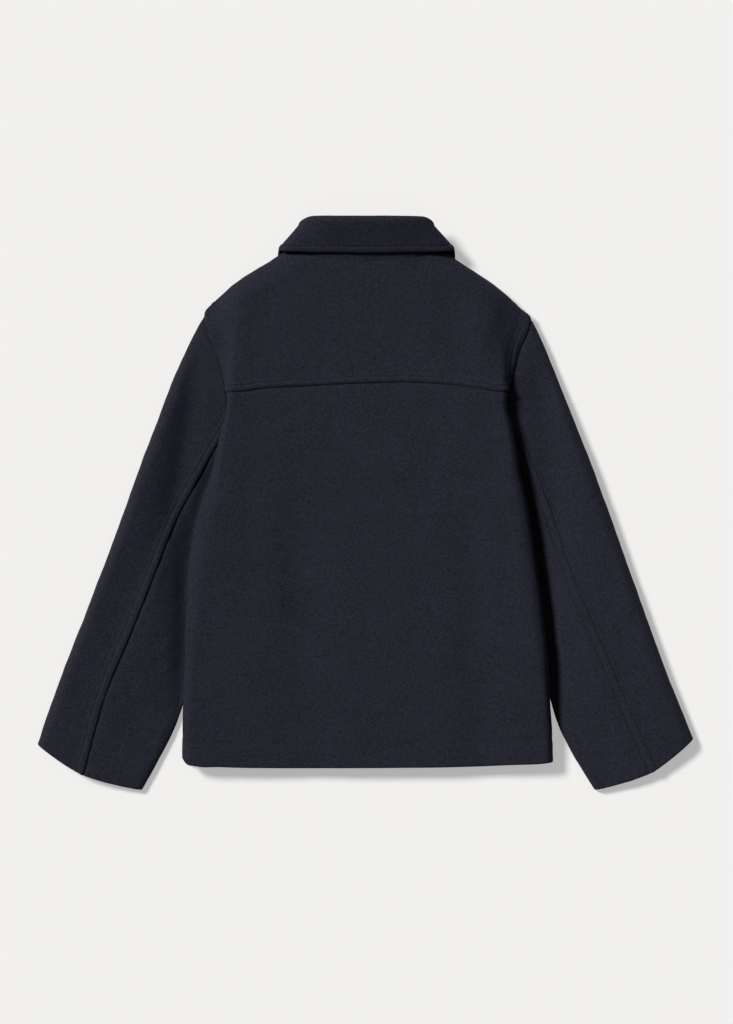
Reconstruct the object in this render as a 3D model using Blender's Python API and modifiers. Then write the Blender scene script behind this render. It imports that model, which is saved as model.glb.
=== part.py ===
"""A short melton coat, laid on its front so that its back shows.

Sizes are millimetres until a mesh is made. x runs across the back, to the reader's right,
"down" is measured along the back from the top of the collar, and z is the height above the
surface that the coat lies on.
"""

import bpy
import numpy as np
from mathutils import Vector

for old in list(bpy.data.objects):
    bpy.data.objects.remove(old)

# Driving sizes
LENGTH_ABOVE_ORIGIN = 373.1
CENTRE_BACK_X = 1.5
WALL = 2.2
COLLAR_WALL = 3.6
SEAM_GAP = 0.3
LAID_Z = WALL / 2
LAP = 18.0
BUTTON_WIDTH = 20.0
BUTTON_THICK = 4.0
BUTTON_HOLE = 2.2
BUTTON_HOLE_OUT = 2.3
BUTTON_EDGE = 0.8
BUTTON_LIFT = BUTTON_THICK + SEAM_GAP + 0.3
FLAT_LAP = LAP + 5
LAP_LIFT = WALL + SEAM_GAP + 0.9
BUTTONS_DOWN = (205.0, 315.0, 425.0, 535.0, 645.0)
LEAF_LIFT = 7.1

# A section's fractions, from the centre back (0) to the side seam or armhole (1)
NECK_AT = 0.34
RIDGE_AT = 0.72
SIDE_AT = 0.88

# A front's fractions: across, where its neck seam starts, and down its outer edge, where the
# shoulder ends and the side seam starts
FRONT_NECK_AT = 0.12
SHOULDER_ENDS_AT = 0.22
SIDE_SEAM_AT = 0.48

# A sleeve piece's fractions, from the elbow seam: where it leaves the flat, the fold line,
# and where it lies flat again underneath
TOP_FOLDS = (0.36, 0.5, 0.62)
UNDER_FOLDS = (0.56, 0.7, 0.82)

# The collar's fractions, up the stand and down the leaf: where the fold starts and ends
FOLD_FROM = 0.4
FOLD_TO = 0.6

# How far the edges of a laid tube round over, in plan
SHOULDER_ROUND = 26.0
FRONT_ROUND = 40.0
OUTER_ROUND = 13.0
INNER_ROUND = 8.0
FOLDED_TOP_WIDTH = 68.0
FOLDED_UNDER_WIDTH = 70.0
LEAF_ROUND = 40.0
LEAF_HALF_WIDTH = 50.0
NECK_SLOPE = 55.0
SIDE_SLOPE = 36.0
LAP_SLOPE = 30.0
SEAM_END_X = 178.0


def table(columns, *rows):
    """The rows' values by column name."""
    return {name: np.array(column, float) for name, column in zip(columns.split(), zip(*rows))}


# The body's section from the yoke seam to the hem: where the back turns over (ridge), its
# widest place (side), and where it ends at the armhole or the side seam (end).
BODY = {
    -1: table(
        "down ridge side side_z end end_z",
        (214, 172, 180.5, 29, 182.5, 21.5),
        (226, 173, 180, 28, 182, 20.5),
        (244, 175, 180, 27, 179, 18.5),
        (273, 181, 186, 27, 175, 17),
        (296, 184, 192, 27, 171, 15.5),
        (329, 188, 199.5, 27, 167, 12.5),
        (355, 191, 208, 27, 169, 14),
        (394, 198, 220, 26, 177, 15),
        (446, 207, 228.5, 26, 188, 15),
        (498, 214, 232.5, 25, 200, 14),
        (563, 222, 234.7, 23, 215, 10.5),
        (628, 227, 237, 20, 226, 7.5),
        (698, 229, 239, 17, 231, 6),
        (718, 229, 238.5, 16, 231, 6),
    ),
    1: table(
        "down ridge side side_z end end_z",
        (214, 176, 183, 29, 184.5, 21.5),
        (226, 176, 182.5, 28, 184, 20.5),
        (244, 175, 182, 27, 180, 18.5),
        (273, 179, 188.5, 27, 174, 17),
        (296, 182, 193, 27, 170, 15.5),
        (329, 187, 198, 27, 166, 12.5),
        (355, 190, 203.5, 27, 168, 14),
        (394, 196, 211.5, 26, 176, 15),
        (446, 203, 219, 26, 186, 15),
        (498, 210, 226, 25, 197, 14),
        (563, 220, 233.5, 23, 213, 10.5),
        (628, 228, 238, 20, 227, 7.5),
        (698, 232, 241.5, 17, 234, 6),
        (718, 232, 242, 16, 234, 6),
    ),
}

# Heights of the back along its centre and along the ridge
BACK_HEIGHT = table(
    "down centre ridge",
    (30, 37, 30),
    (56, 38, 33),
    (127, 39, 37),
    (220, 39, 42),
    (400, 38, 42.5),
    (600, 35, 38),
    (718, 29, 31),
)

# Long shallow troughs down the back: place across, width, depth, and where they start
BACK_TROUGHS = table("x width depth start", (-84, 24, 3.0, 300), (146, 20, 3.0, 330))

# Shoulder fold from the side of the neck to the sleeve head, by section fraction
SHOULDER = {
    -1: table(
        "at x down z",
        (0.34, 82, 38, 24),
        (0.43, 104, 45.5, 22),
        (0.52, 126, 58.5, 20),
        (0.62, 151, 74, 18),
        (0.72, 173, 89, 16),
        (0.82, 190, 103.5, 15),
        (0.92, 204, 117, 14),
        (1.0, 210, 127, 13),
    ),
    1: table(
        "at x down z",
        (0.34, 82, 38, 24),
        (0.43, 100, 45.5, 22),
        (0.52, 119.5, 58.5, 20),
        (0.62, 143, 74, 18),
        (0.72, 165, 89, 16),
        (0.82, 184, 104, 15),
        (0.92, 201, 120, 14),
        (1.0, 213, 131, 13),
    ),
}

# Armhole seam from the shoulder to the underarm: the heights of the back and the front at it,
# how far the sleeve lies below the back where the two fold together, and the sleeve's
# underside.
ARMHOLE = {
    -1: table(
        "down x back_z front_z drop sleeve_z",
        (127, 210, 17, 13, 0, 13),
        (153, 204.5, 18, 6, 0, 6),
        (170, 196.5, 19, 3, 0.2, 3),
        (187, 190.5, 20, 1.6, 0.5, 1.6),
        (203, 185.5, 21, 1.1, 1.0, 1.1),
        (220, 182.5, 21, 1.1, 1.8, 1.1),
        (244, 179, 18.5, 1.1, 2.8, 1.1),
        (273, 175, 17, 1.4, 4.0, 1.1),
        (296, 171, 15.5, 5, 5.5, 1.5),
        (329, 167, 12.5, 12.5, 5.5, 5.8),
    ),
    1: table(
        "down x back_z front_z drop sleeve_z",
        (131, 213, 17, 13, 0, 13),
        (153, 207.5, 18, 6, 0, 6),
        (170, 199.5, 19, 3, 0.2, 3),
        (187, 194.5, 20, 1.6, 0.5, 1.6),
        (203, 190.5, 21, 1.1, 1.0, 1.1),
        (220, 185, 21, 1.1, 1.8, 1.1),
        (244, 180, 18.5, 1.1, 2.8, 1.1),
        (273, 174, 17, 1.4, 4.0, 1.1),
        (296, 170, 15.5, 5, 5.5, 1.5),
        (329, 166, 12.5, 12.5, 5.5, 5.8),
    ),
}

# The yoke seam and the hem, across the back
YOKE_SEAM = table(
    "x down",
    (-186, 225),
    (-172, 226),
    (-137, 222),
    (-73, 218),
    (4, 214.5),
    (58, 213.7),
    (110, 217),
    (146, 221.5),
    (176, 226),
    (188, 225),
)
HEM = table(
    "x down",
    (-240, 703),
    (-236, 709),
    (-223, 713.5),
    (-190, 715),
    (-30, 716.5),
    (45, 716),
    (136, 714.5),
    (183, 712.5),
    (230, 710.5),
    (243, 709),
)

HEM_END_X = 233.0
BACK_LENGTH = 495.0

# Sleeve stations from armhole to cuff: the outer fold, the elbow seam and the inner fold in
# plan, and the top's height just inside the outer fold, at the elbow seam and inside.
SLEEVE = {
    -1: table(
        "outer_x outer elbow_x elbow inner_x inner outer_z elbow_z inner_z",
        (210, 127, 179, 257, 167, 329, 20, 10, 6.5),
        (238, 183, 190, 284, 173, 350, 26, 12.5, 7),
        (265, 248, 215, 330, 181.5, 384, 28, 15.5, 8),
        (298.5, 339, 250, 396, 194.5, 440, 28, 18, 9.5),
        (331.5, 430, 280, 472, 210, 512, 27, 19, 9.5),
        (366.5, 520, 312, 552, 227, 590, 26, 19.5, 10),
        (397, 600, 344, 628, 252.5, 668, 24.5, 19.5, 11),
        (428, 687, 370, 717, 293.5, 746, 22, 18.5, 13),
    ),
    1: table(
        "outer_x outer elbow_x elbow inner_x inner outer_z elbow_z inner_z",
        (213, 131, 180, 250, 166, 329, 20, 10, 6.5),
        (236.5, 183, 194, 284, 172.5, 350, 26, 12.5, 7),
        (262.5, 248, 214.5, 330, 181, 384, 28, 15.5, 8),
        (298, 339, 238, 396, 195, 440, 28, 18, 9.5),
        (331, 430, 263, 472, 212.5, 512, 27, 19, 9.5),
        (363, 520, 297, 552, 231, 590, 26, 19.5, 10),
        (392.5, 600, 331, 628, 254, 668, 24.5, 19.5, 11),
        (425, 680, 372, 714, 298.5, 746, 22, 18.5, 13),
    ),
}
CUFF_BOW = 9.0
TUCKED_Z = 5.8
OUTER_FOLD_Z = 11.0
INNER_FOLD_Z = 5.2
FRONT_SEAM_AT = 0.7

# The long fold down each sleeve, from the sleeve head to where the body covers it
SLEEVE_VALLEY = table(
    "down left right",
    (150, 226, 230),
    (240, 229, 232),
    (340, 242, 240),
    (480, 243, 246),
    (620, 236, 240),
)
SLEEVE_VALLEY_DEPTH = 6.0
SLEEVE_VALLEY_WIDTH = 15.0

# Half of the collar, from the centre front round to the centre back: the neck seam, the top
# of the fold, the leaf's edge, and half the space between stand and leaf at the fold.
COLLAR = table(
    "seam_x seam fold_x fold fold_z edge_x edge edge_z half",
    (2, 137, 2, 106, 5.1, 8, 176, 2.3, 2.9),
    (34, 121, 30, 90, 5.1, 52, 170, 2.3, 2.9),
    (60, 94, 56, 66, 6.5, 90, 130, 2.3, 2.9),
    (77, 60, 75, 34, 14, 111, 78, 4.5, 3.1),
    (82, 38, 84, 13, 28, 113, 43.5, 24, 3.6),
    (73, 46, 77, 3.5, 46, 105, 44, 40, 4.4),
    (45, 52.3, 52, 2.2, 56, 60, 45, 45, 5),
    (0, 56.3, 0, 2.2, 58, 0, 46, 47, 5),
)


def curve(at, stops, values):
    """The value at each place, on a smooth curve through the table's values."""
    slopes = np.gradient(values, stops)
    at = np.clip(at, stops[0], stops[-1])
    i = np.clip(np.searchsorted(stops, at, side="right") - 1, 0, len(stops) - 2)
    step = stops[i + 1] - stops[i]
    f = (at - stops[i]) / step
    ahead = values[i] * (1 + 2 * f) * (1 - f) ** 2 + values[i + 1] * f**2 * (3 - 2 * f)
    return ahead + step * (slopes[i] * f * (1 - f) ** 2 - slopes[i + 1] * f**2 * (1 - f))


def ease(f):
    """0 to 1, flat at both ends."""
    f = np.clip(f, 0, 1)
    return f * f * (3 - 2 * f)


def quarter(f):
    """The height of a quarter round, from 0 at its edge to 1 where it is flat."""
    return np.sqrt(1 - (1 - np.clip(f, 0, 1)) ** 2)


def on_side(side, which, name, down):
    return curve(down, which[side]["down"], which[side][name])


def plateau(x, down):
    """Height of the back between its ridges: a shallow dish with two long troughs."""
    ridge = np.where(
        x < 0,
        curve(down, BODY[-1]["down"], BODY[-1]["ridge"]),
        curve(down, BODY[1]["down"], BODY[1]["ridge"]),
    )
    centre_z = curve(down, BACK_HEIGHT["down"], BACK_HEIGHT["centre"])
    ridge_z = curve(down, BACK_HEIGHT["down"], BACK_HEIGHT["ridge"])
    z = centre_z + (ridge_z - centre_z) * np.clip(np.abs(x) / ridge, 0, 1) ** 2.4
    for place, width, depth, start in zip(*BACK_TROUGHS.values()):
        z -= depth * ease((down - start) / 150) * np.exp(-(((x - place) / width) ** 2) / 2)
    return z


def back_section(q, down):
    """(x, z) of the back at fraction q across: flat to the ridge, then two quarter rounds."""
    x = np.zeros_like(q)
    z = np.zeros_like(q)
    for side in (-1, 1):
        ridge, wide, wide_z, end, end_z = (
            on_side(side, BODY, name, down)
            for name in ("ridge", "side", "side_z", "end", "end_z")
        )
        ridge_z = plateau(side * ridge, down)
        part = np.abs(q)
        over = np.pi / 2 * (part - RIDGE_AT) / (SIDE_AT - RIDGE_AT)
        under = np.pi / 2 * (part - SIDE_AT) / (1 - SIDE_AT)
        flat_x = ridge * part / RIDGE_AT
        at_x = np.select(
            [part <= RIDGE_AT, part <= SIDE_AT],
            [flat_x, ridge + (wide - ridge) * np.sin(over)],
            end + (wide - end) * np.cos(under),
        )
        at_z = np.select(
            [part <= RIDGE_AT, part <= SIDE_AT],
            [plateau(side * flat_x, down), wide_z + (ridge_z - wide_z) * np.cos(over)],
            wide_z - (wide_z - end_z) * np.sin(under),
        )
        here = q * side > 0
        x = np.where(here, side * at_x, x)
        z = np.where(here | (q == 0), at_z, z)
    return x, z


def neck_down(x):
    """The back neck seam."""
    rows = COLLAR["seam_x"][:3:-1]
    return curve(np.abs(x), rows, COLLAR["seam"][:3:-1])


def shoulder_point(side, q):
    """(x, down, z) on the shoulder fold at section fraction q."""
    rows = SHOULDER[side]
    return tuple(curve(q, rows["at"], rows[name]) for name in ("x", "down", "z"))


def shoulder_distance(side, x, down):
    """How far each point is from the shoulder fold, and the fold's height there."""
    fold_x, fold_down, fold_z = shoulder_point(side, np.linspace(NECK_AT, 1, 80))
    away = np.hypot(np.abs(x)[..., None] - fold_x, down[..., None] - fold_down)
    nearest = np.argmin(away, axis=-1)
    return np.min(away, axis=-1), fold_z[nearest]


def yoke_surface(q, v):
    """The yoke: from neck and shoulder (v 0) to its seam (v 1), rounding over the shoulder."""
    seam_x, _ = back_section(q, np.full_like(q, 220.0))
    seam_down = curve(seam_x, YOKE_SEAM["x"], YOKE_SEAM["down"])
    seam_x, seam_z = back_section(q, seam_down)
    x = np.zeros_like(q)
    down = np.zeros_like(q)
    z = np.zeros_like(q)
    for side in (-1, 1):
        part = np.abs(q)
        neck_x = COLLAR["seam_x"][4] * part / NECK_AT
        fold_x, fold_down, _ = shoulder_point(side, part)
        top_x = np.where(part < NECK_AT, neck_x, fold_x)
        top_down = np.where(part < NECK_AT, neck_down(neck_x), fold_down)
        at_x = top_x + (np.abs(seam_x) - top_x) * v
        at_down = top_down + (seam_down - top_down) * v
        edge_down = top_down[..., -1:] if side > 0 else top_down[..., :1]
        edge_down = edge_down + (seam_down[..., -1:] - edge_down) * v
        arm_x = on_side(side, ARMHOLE, "x", edge_down)
        straight_x = SHOULDER[side]["x"][-1] + (arm_end(side) - SHOULDER[side]["x"][-1]) * v
        at_x = at_x + (arm_x - straight_x) * ease((part - 0.5) / 0.5)
        arm_z = on_side(side, ARMHOLE, "back_z", edge_down)
        ridge_z = plateau(side * np.minimum(at_x, SEAM_END_X), at_down)
        end_z = on_side(side, BODY, "end_z", seam_down)
        low = (seam_z - end_z) / (ridge_z - end_z)
        high = (1 - (part - RIDGE_AT) / (1 - RIDGE_AT)) ** 1.7
        mix = np.where(part > RIDGE_AT, high + (low - high) * v**1.5, 1)
        at_z = np.where(part > RIDGE_AT, arm_z + (ridge_z - arm_z) * mix, ridge_z)
        away, fold_z = shoulder_distance(side, at_x, at_down)
        at_z = fold_z + (at_z - fold_z) * quarter(away / SHOULDER_ROUND)
        here = (q * side > 0) | (q == 0)
        x = np.where(here, side * at_x, x)
        down = np.where(here, at_down, down)
        z = np.where(here, at_z, z)
    return np.stack([x, down, z], axis=-1)


def arm_end(side):
    """Where the yoke seam meets the armhole."""
    return on_side(side, ARMHOLE, "x", np.array(225.0))


def back_surface(q, v):
    """The back below the yoke, from its seam (v 0) to the hem (v 1)."""
    down = YOKE_SEAM["down"].mean() + v * BACK_LENGTH
    for _ in range(3):
        x, z = back_section(q, down)
        top = curve(x, YOKE_SEAM["x"], YOKE_SEAM["down"])
        down = top + v * (curve(x, HEM["x"], HEM["down"]) - top)
    return np.stack([x, down, z], axis=-1)


def front_neck(f):
    """(x, down, z) on the front neck seam, from the centre front (0) to the shoulder (1)."""
    stops = np.linspace(0, 1, 5)
    z = np.array([8.2, 8.2, 9.2, 13.5, 24])
    return tuple(curve(f, stops, values) for values in (COLLAR["seam_x"][:5], COLLAR["seam"][:5], z))


def front_edge(side, v):
    """(x, down, z) down a front's outer edge: shoulder, armhole, then side seam."""
    shoulder = shoulder_point(side, NECK_AT + (1 - NECK_AT) * np.clip(v / SHOULDER_ENDS_AT, 0, 1))
    rows = ARMHOLE[side]
    arm_f = np.clip((v - SHOULDER_ENDS_AT) / (SIDE_SEAM_AT - SHOULDER_ENDS_AT), 0, 1)
    arm_down = rows["down"][0] + (rows["down"][-1] - rows["down"][0]) * arm_f
    arm = (
        on_side(side, ARMHOLE, "x", arm_down),
        arm_down,
        on_side(side, ARMHOLE, "front_z", arm_down),
    )
    hem_down = curve(np.array(side * HEM_END_X), HEM["x"], HEM["down"])
    side_f = np.clip((v - SIDE_SEAM_AT) / (1 - SIDE_SEAM_AT), 0, 1)
    side_down = rows["down"][-1] + (hem_down - rows["down"][-1]) * side_f
    seam = (
        on_side(side, BODY, "end", side_down),
        side_down,
        on_side(side, BODY, "end_z", side_down),
    )
    return [
        np.where(v < SHOULDER_ENDS_AT, a, np.where(v < SIDE_SEAM_AT, b, c))
        for a, b, c in zip(shoulder, arm, seam)
    ]


def front_height(side, x, down, edge_z, to_edge):
    """Height of a laid front: flat, and lifted over the collar leaf and the buttons."""
    away, fold_z = shoulder_distance(side, x, down)
    folded = (fold_z - LAID_Z) * (1 - quarter(away / FRONT_ROUND))
    f = np.linspace(0, 1, 60)
    neck_x, neck_at, neck_z = front_neck(f)
    gap = np.hypot(np.abs(x)[..., None] - neck_x, down[..., None] - neck_at)
    nearest = np.argmin(gap, axis=-1)
    gap = np.min(gap, axis=-1)
    over_leaf = LEAF_LIFT * (1 - ease((gap - LEAF_HALF_WIDTH) / LEAF_ROUND))
    at_neck = (neck_z[nearest] - LAID_Z - LEAF_LIFT) * (1 - ease(gap / NECK_SLOPE))
    over_buttons = BUTTON_LIFT * (1 - ease((np.abs(x) - FLAT_LAP) / LAP_SLOPE))
    to_side = (edge_z - LAID_Z) * (1 - ease(to_edge / SIDE_SLOPE))
    return LAID_Z + np.max(np.stack([folded, over_leaf + at_neck, over_buttons, to_side]), axis=0)


def front_surface(side, u, v):
    """A front, from its lapped edge (u 0) to its outer edge (u 1), neck (v 0) to hem (v 1)."""
    lap_x = -LAP
    neck_x, neck_at, _ = front_neck(np.clip((u - FRONT_NECK_AT) / (1 - FRONT_NECK_AT), 0, 1))
    start = COLLAR["seam_x"][0]
    before = u < FRONT_NECK_AT
    neck_x = np.where(before, lap_x + (start - lap_x) * u / FRONT_NECK_AT, neck_x)
    neck_at = np.where(before, COLLAR["seam"][0] + 1.0, neck_at)
    edge_x, edge_down, edge_z = front_edge(side, v)
    centre_down = neck_at[:, :1] + (HEM["down"][3] - neck_at[:, :1]) * v
    hem_end = curve(np.array(side * HEM_END_X), HEM["x"], HEM["down"])
    hem_x = lap_x + (edge_x[-1:, :] - lap_x) * u
    hem_down = curve(side * hem_x, HEM["x"], HEM["down"])
    hem_down = np.where(u > 0.9, hem_down + (hem_end - hem_down) * (u - 0.9) / 0.1, hem_down)
    across_x = lap_x + (edge_x - lap_x) * u
    across_down = centre_down + (edge_down - centre_down) * u
    along_x = neck_x + (hem_x - neck_x) * v
    along_down = neck_at + (hem_down - neck_at) * v
    top_x = lap_x + (neck_x[:, -1:] - lap_x) * u
    low_x = lap_x + (hem_x[:, -1:] - lap_x) * u
    corner_x = (1 - v) * top_x + v * low_x
    top_corner = neck_at[:, :1] + (neck_at[:, -1:] - neck_at[:, :1]) * u
    low_corner = hem_down[:, :1] + (hem_down[:, -1:] - hem_down[:, :1]) * u
    x = across_x + along_x - corner_x
    down = across_down + along_down - ((1 - v) * top_corner + v * low_corner)
    to_edge = np.hypot(edge_x - x, (edge_down - down) * 0.3)
    z = front_height(side, x, down, edge_z, to_edge)
    z = np.where(u > 0.999, edge_z, z)
    if side < 0:
        z = z + LAP_LIFT * (1 - ease((x - FLAT_LAP) / LAP_SLOPE))
    return np.stack([side * x, down, z], axis=-1)


def sleeve_surface(side, fold, across, under, t):
    """A sleeve. across runs 0 at the outer fold to 1 at the elbow seam to 2 at the inner
    fold; fold is 0 on a fold line and 1 on the flat; under is 1 on the laid side."""
    rows = SLEEVE[side]
    stations = np.linspace(0, 1, len(rows["outer"]))
    at = {name: curve(t, stations, values) for name, values in rows.items()}
    outer_part = np.clip(across, 0, 1)
    inner_part = np.clip(across - 1, 0, 1)
    x = at["outer_x"] + (at["elbow_x"] - at["outer_x"]) * outer_part
    x = x + (at["inner_x"] - at["elbow_x"]) * inner_part
    down = at["outer"] + (at["elbow"] - at["outer"]) * outer_part
    down = down + (at["inner"] - at["elbow"]) * inner_part
    first_down = rows["outer"][0] + (rows["elbow"][0] - rows["outer"][0]) * outer_part
    first_down = first_down + (rows["inner"][0] - rows["elbow"][0]) * inner_part
    first_x = rows["outer_x"][0] + (rows["elbow_x"][0] - rows["outer_x"][0]) * outer_part
    first_x = first_x + (rows["inner_x"][0] - rows["elbow_x"][0]) * inner_part
    arm_x = on_side(side, ARMHOLE, "x", first_down)
    x = x + (arm_x - first_x) * (1 - ease(t / 0.3))
    bow = CUFF_BOW * np.sin(np.pi * across / 2)
    down = down + bow * ease((t - 0.75) / 0.25)
    top = at["outer_z"] + (at["elbow_z"] - at["outer_z"]) * ease(outer_part)
    top = top + (at["inner_z"] - at["elbow_z"]) * ease(inner_part)
    valley_x = curve(down, SLEEVE_VALLEY["down"], SLEEVE_VALLEY["left" if side < 0 else "right"])
    near = np.exp(-(((x - valley_x) / SLEEVE_VALLEY_WIDTH) ** 2) / 2)
    fade = ease((down - 150) / 60) * (1 - ease((down - 430) / 120))
    top = top - SLEEVE_VALLEY_DEPTH * near * fade
    fold_z = np.where(across < 1, OUTER_FOLD_Z, INNER_FOLD_Z)
    z = np.where(under > 0, fold_z - fold * (fold_z - LAID_Z), fold_z + fold * (top - fold_z))
    shoulder_away, shoulder_z = shoulder_distance(side, arm_x, first_down)
    back_z = on_side(side, ARMHOLE, "back_z", first_down)
    back_z = shoulder_z + (back_z - shoulder_z) * quarter(shoulder_away / SHOULDER_ROUND)
    back_z = back_z - on_side(side, ARMHOLE, "drop", first_down)
    front_z = on_side(side, ARMHOLE, "sleeve_z", first_down)
    tucked = np.where(across > 1, fold, 1)
    first_z = np.where(under > 0, front_z, back_z)
    first_z = TUCKED_Z + (first_z - TUCKED_Z) * tucked
    start = ease(t / 0.16)
    z = first_z + (z - first_z) * start
    return np.stack([side * x, down, z], axis=-1)


def folded_across(u, folds, turn, fold_line, way):
    """(across, fold) of a sleeve piece: flat to its first fold fraction, rounding over at its
    fold line, then flat underneath to the front seam. way is which side the flat lies on."""
    leaves, line, lands = folds
    rounding = np.where(u < line, (line - u) / (line - leaves), (u - line) / (lands - line))
    rounding = np.clip(rounding, 0, 1)
    over = turn * (1 - np.cos(np.pi / 2 * rounding))
    on_top = turn + (1 - turn) * np.clip(1 - u / leaves, 0, 1)
    seam = abs(fold_line - 2 * FRONT_SEAM_AT)
    below = turn + (seam - turn) * np.clip((u - lands) / (1 - lands), 0, 1)
    over = np.where(u < leaves, on_top, np.where(u > lands, below, over))
    return fold_line + way * over, np.sin(np.pi / 2 * rounding)


def top_sleeve(side, u, t):
    """From the elbow seam (u 0) over the outer fold to the front seam underneath (u 1)."""
    across, fold = folded_across(u, TOP_FOLDS, OUTER_ROUND / FOLDED_TOP_WIDTH, 0, 1)
    return sleeve_surface(side, fold, across, (u > TOP_FOLDS[1]) * 1.0, t)


def under_sleeve(side, u, t):
    """From the elbow seam (u 0) over the inner fold to the front seam underneath (u 1)."""
    across, fold = folded_across(u, UNDER_FOLDS, INNER_ROUND / FOLDED_UNDER_WIDTH, 2, -1)
    return sleeve_surface(side, fold, across, (u > UNDER_FOLDS[1]) * 1.0, t)


def panel_height(x, down):
    """The height at the neck seam of the piece that the collar is sewn to."""
    away, fold_z = shoulder_distance(-1, x, down)
    return fold_z + (plateau(x, down) - fold_z) * quarter(away / SHOULDER_ROUND)


def unit(vectors):
    return vectors / np.linalg.norm(vectors, axis=-1, keepdims=True)


def square_to(vectors, way):
    """The part of each vector that is at right angles to a unit vector."""
    return vectors - way * np.sum(vectors * way, axis=-1, keepdims=True)


def collar_surface(t, h):
    """t runs round the neck from centre front to centre front. h runs up the stand,
    round the fold (FOLD_FROM to FOLD_TO) and down the leaf to its edge (1)."""
    half_t = np.where(t <= 0.5, t, 1 - t) * 2
    stops = np.linspace(0, 1, len(COLLAR["seam"]))
    at = {name: curve(half_t, stops, values) for name, values in COLLAR.items()}
    front_f = np.clip(half_t * 7 / 4, 0, 1)
    seam_z = np.where(half_t < 4 / 7, front_neck(front_f)[2], panel_height(at["seam_x"], at["seam"]))
    way = np.where(t <= 0.5, -1, 1)
    seam = np.stack([way * at["seam_x"], at["seam"], seam_z], axis=-1)
    apex = np.stack([way * at["fold_x"], at["fold"], at["fold_z"]], axis=-1)
    edge = np.stack([way * at["edge_x"], at["edge"], at["edge_z"]], axis=-1)
    around = unit(np.gradient(apex, axis=1))
    up = unit(square_to(apex - seam, around))
    out = unit(square_to(square_to(edge - seam, around), up))
    half = at["half"][..., None]
    centre = apex - up * half
    angle = np.pi * np.clip((h - FOLD_FROM) / (FOLD_TO - FOLD_FROM), 0, 1)[..., None]
    turned = centre - out * half * np.cos(angle) + up * half * np.sin(angle)
    stand = seam + (centre - out * half - seam) * np.clip(h / FOLD_FROM, 0, 1)[..., None]
    leaf_f = np.clip((h - FOLD_TO) / (1 - FOLD_TO), 0, 1)[..., None]
    leaf_top = centre + out * half
    leaf = leaf_top + (edge - leaf_top) * leaf_f
    h3 = h[..., None]
    return np.where(h3 < FOLD_FROM, stand, np.where(h3 <= FOLD_TO, turned, leaf))


def trim(points, first_row=0.0, last_row=0.0, first_column=0.0, last_column=0.0):
    """Draws the named edges in along the cloth, to leave the gaps at the seams."""
    points = points.copy()
    rows = points.swapaxes(0, 1)
    for array, place, inner, gap in (
        (points, 0, 1, first_row),
        (points, -1, -2, last_row),
        (rows, 0, 1, first_column),
        (rows, -1, -2, last_column),
    ):
        way = array[inner] - array[place]
        array[place] += gap * way / np.linalg.norm(way, axis=-1, keepdims=True)
    return points


def material(name, colour, roughness):
    made = bpy.data.materials.new(name)
    made.use_nodes = True
    shader = made.node_tree.nodes["Principled BSDF"]
    shader.inputs["Base Color"].default_value = (*colour, 1)
    shader.inputs["Roughness"].default_value = roughness
    shader.inputs["Metallic"].default_value = 0
    made.diffuse_color = (*colour, 1)
    return made


def to_part(points):
    """(x, down, z) in millimetres to the part's own metres."""
    flat = points.reshape(-1, 3)
    return np.stack([flat[:, 0] + CENTRE_BACK_X, LENGTH_ABOVE_ORIGIN - flat[:, 1], flat[:, 2]], axis=1) / 1000


def cloth(name, points, wall, colour, outward):
    """A cloth piece: a grid of points as an open surface, given its wall by Solidify.

    outward is a point's row and column and the way that its face looks there."""
    rows, columns = points.shape[:2]
    index = np.arange(rows * columns).reshape(rows, columns)
    quads = np.stack([index[:-1, :-1], index[1:, :-1], index[1:, 1:], index[:-1, 1:]], axis=-1)
    quads = quads.reshape(-1, 4)
    mesh = bpy.data.meshes.new(name)
    mesh.from_pydata(to_part(points).tolist(), [], quads.tolist())
    mesh.update()
    row, column, way = outward
    face = mesh.polygons[row * (columns - 1) + column]
    if np.dot(face.normal, way) < 0:
        mesh.flip_normals()
    mesh.shade_smooth()
    piece = bpy.data.objects.new(name, mesh)
    COAT.objects.link(piece)
    thick = piece.modifiers.new("wall", "SOLIDIFY")
    thick.thickness = wall / 1000
    thick.offset = 0
    thick.use_even_offset = False
    thick.use_quality_normals = True
    mesh.materials.append(material(name + "_cloth", colour, 0.9))
    return piece


def grid(rows, columns):
    return np.meshgrid(np.linspace(0, 1, rows), np.linspace(0, 1, columns), indexing="ij")


def button(name, down):
    """A four-hole button, lying face down under the lapped front."""
    bpy.ops.mesh.primitive_cylinder_add(
        vertices=24,
        radius=BUTTON_WIDTH / 2000,
        depth=BUTTON_THICK / 1000,
        location=(CENTRE_BACK_X / 1000, (LENGTH_ABOVE_ORIGIN - down) / 1000, BUTTON_THICK / 2000),
    )
    disc = bpy.context.object
    disc.name = name
    disc.data.name = name
    move_to(disc, COAT)
    rounded = disc.modifiers.new("edge", "BEVEL")
    rounded.width = BUTTON_EDGE / 1000
    rounded.segments = 1
    rounded.limit_method = "ANGLE"
    for i, (dx, dy) in enumerate(((-1, -1), (-1, 1), (1, -1), (1, 1))):
        bpy.ops.mesh.primitive_cylinder_add(
            vertices=8,
            radius=BUTTON_HOLE / 2000,
            depth=3 * BUTTON_THICK / 1000,
            location=disc.location + Vector((dx, dy, 0)) * BUTTON_HOLE_OUT / 1000,
        )
        drill = bpy.context.object
        drill.name = f"{name}_drill_{i}"
        drill.hide_render = True
        drill.display_type = "WIRE"
        move_to(drill, CUTTERS)
        hole = disc.modifiers.new(f"hole_{i}", "BOOLEAN")
        hole.object = drill
    disc.data.materials.append(material(name + "_horn", HORN, 0.35))


def move_to(piece, collection):
    for other in list(piece.users_collection):
        other.objects.unlink(piece)
    collection.objects.link(piece)


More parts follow.
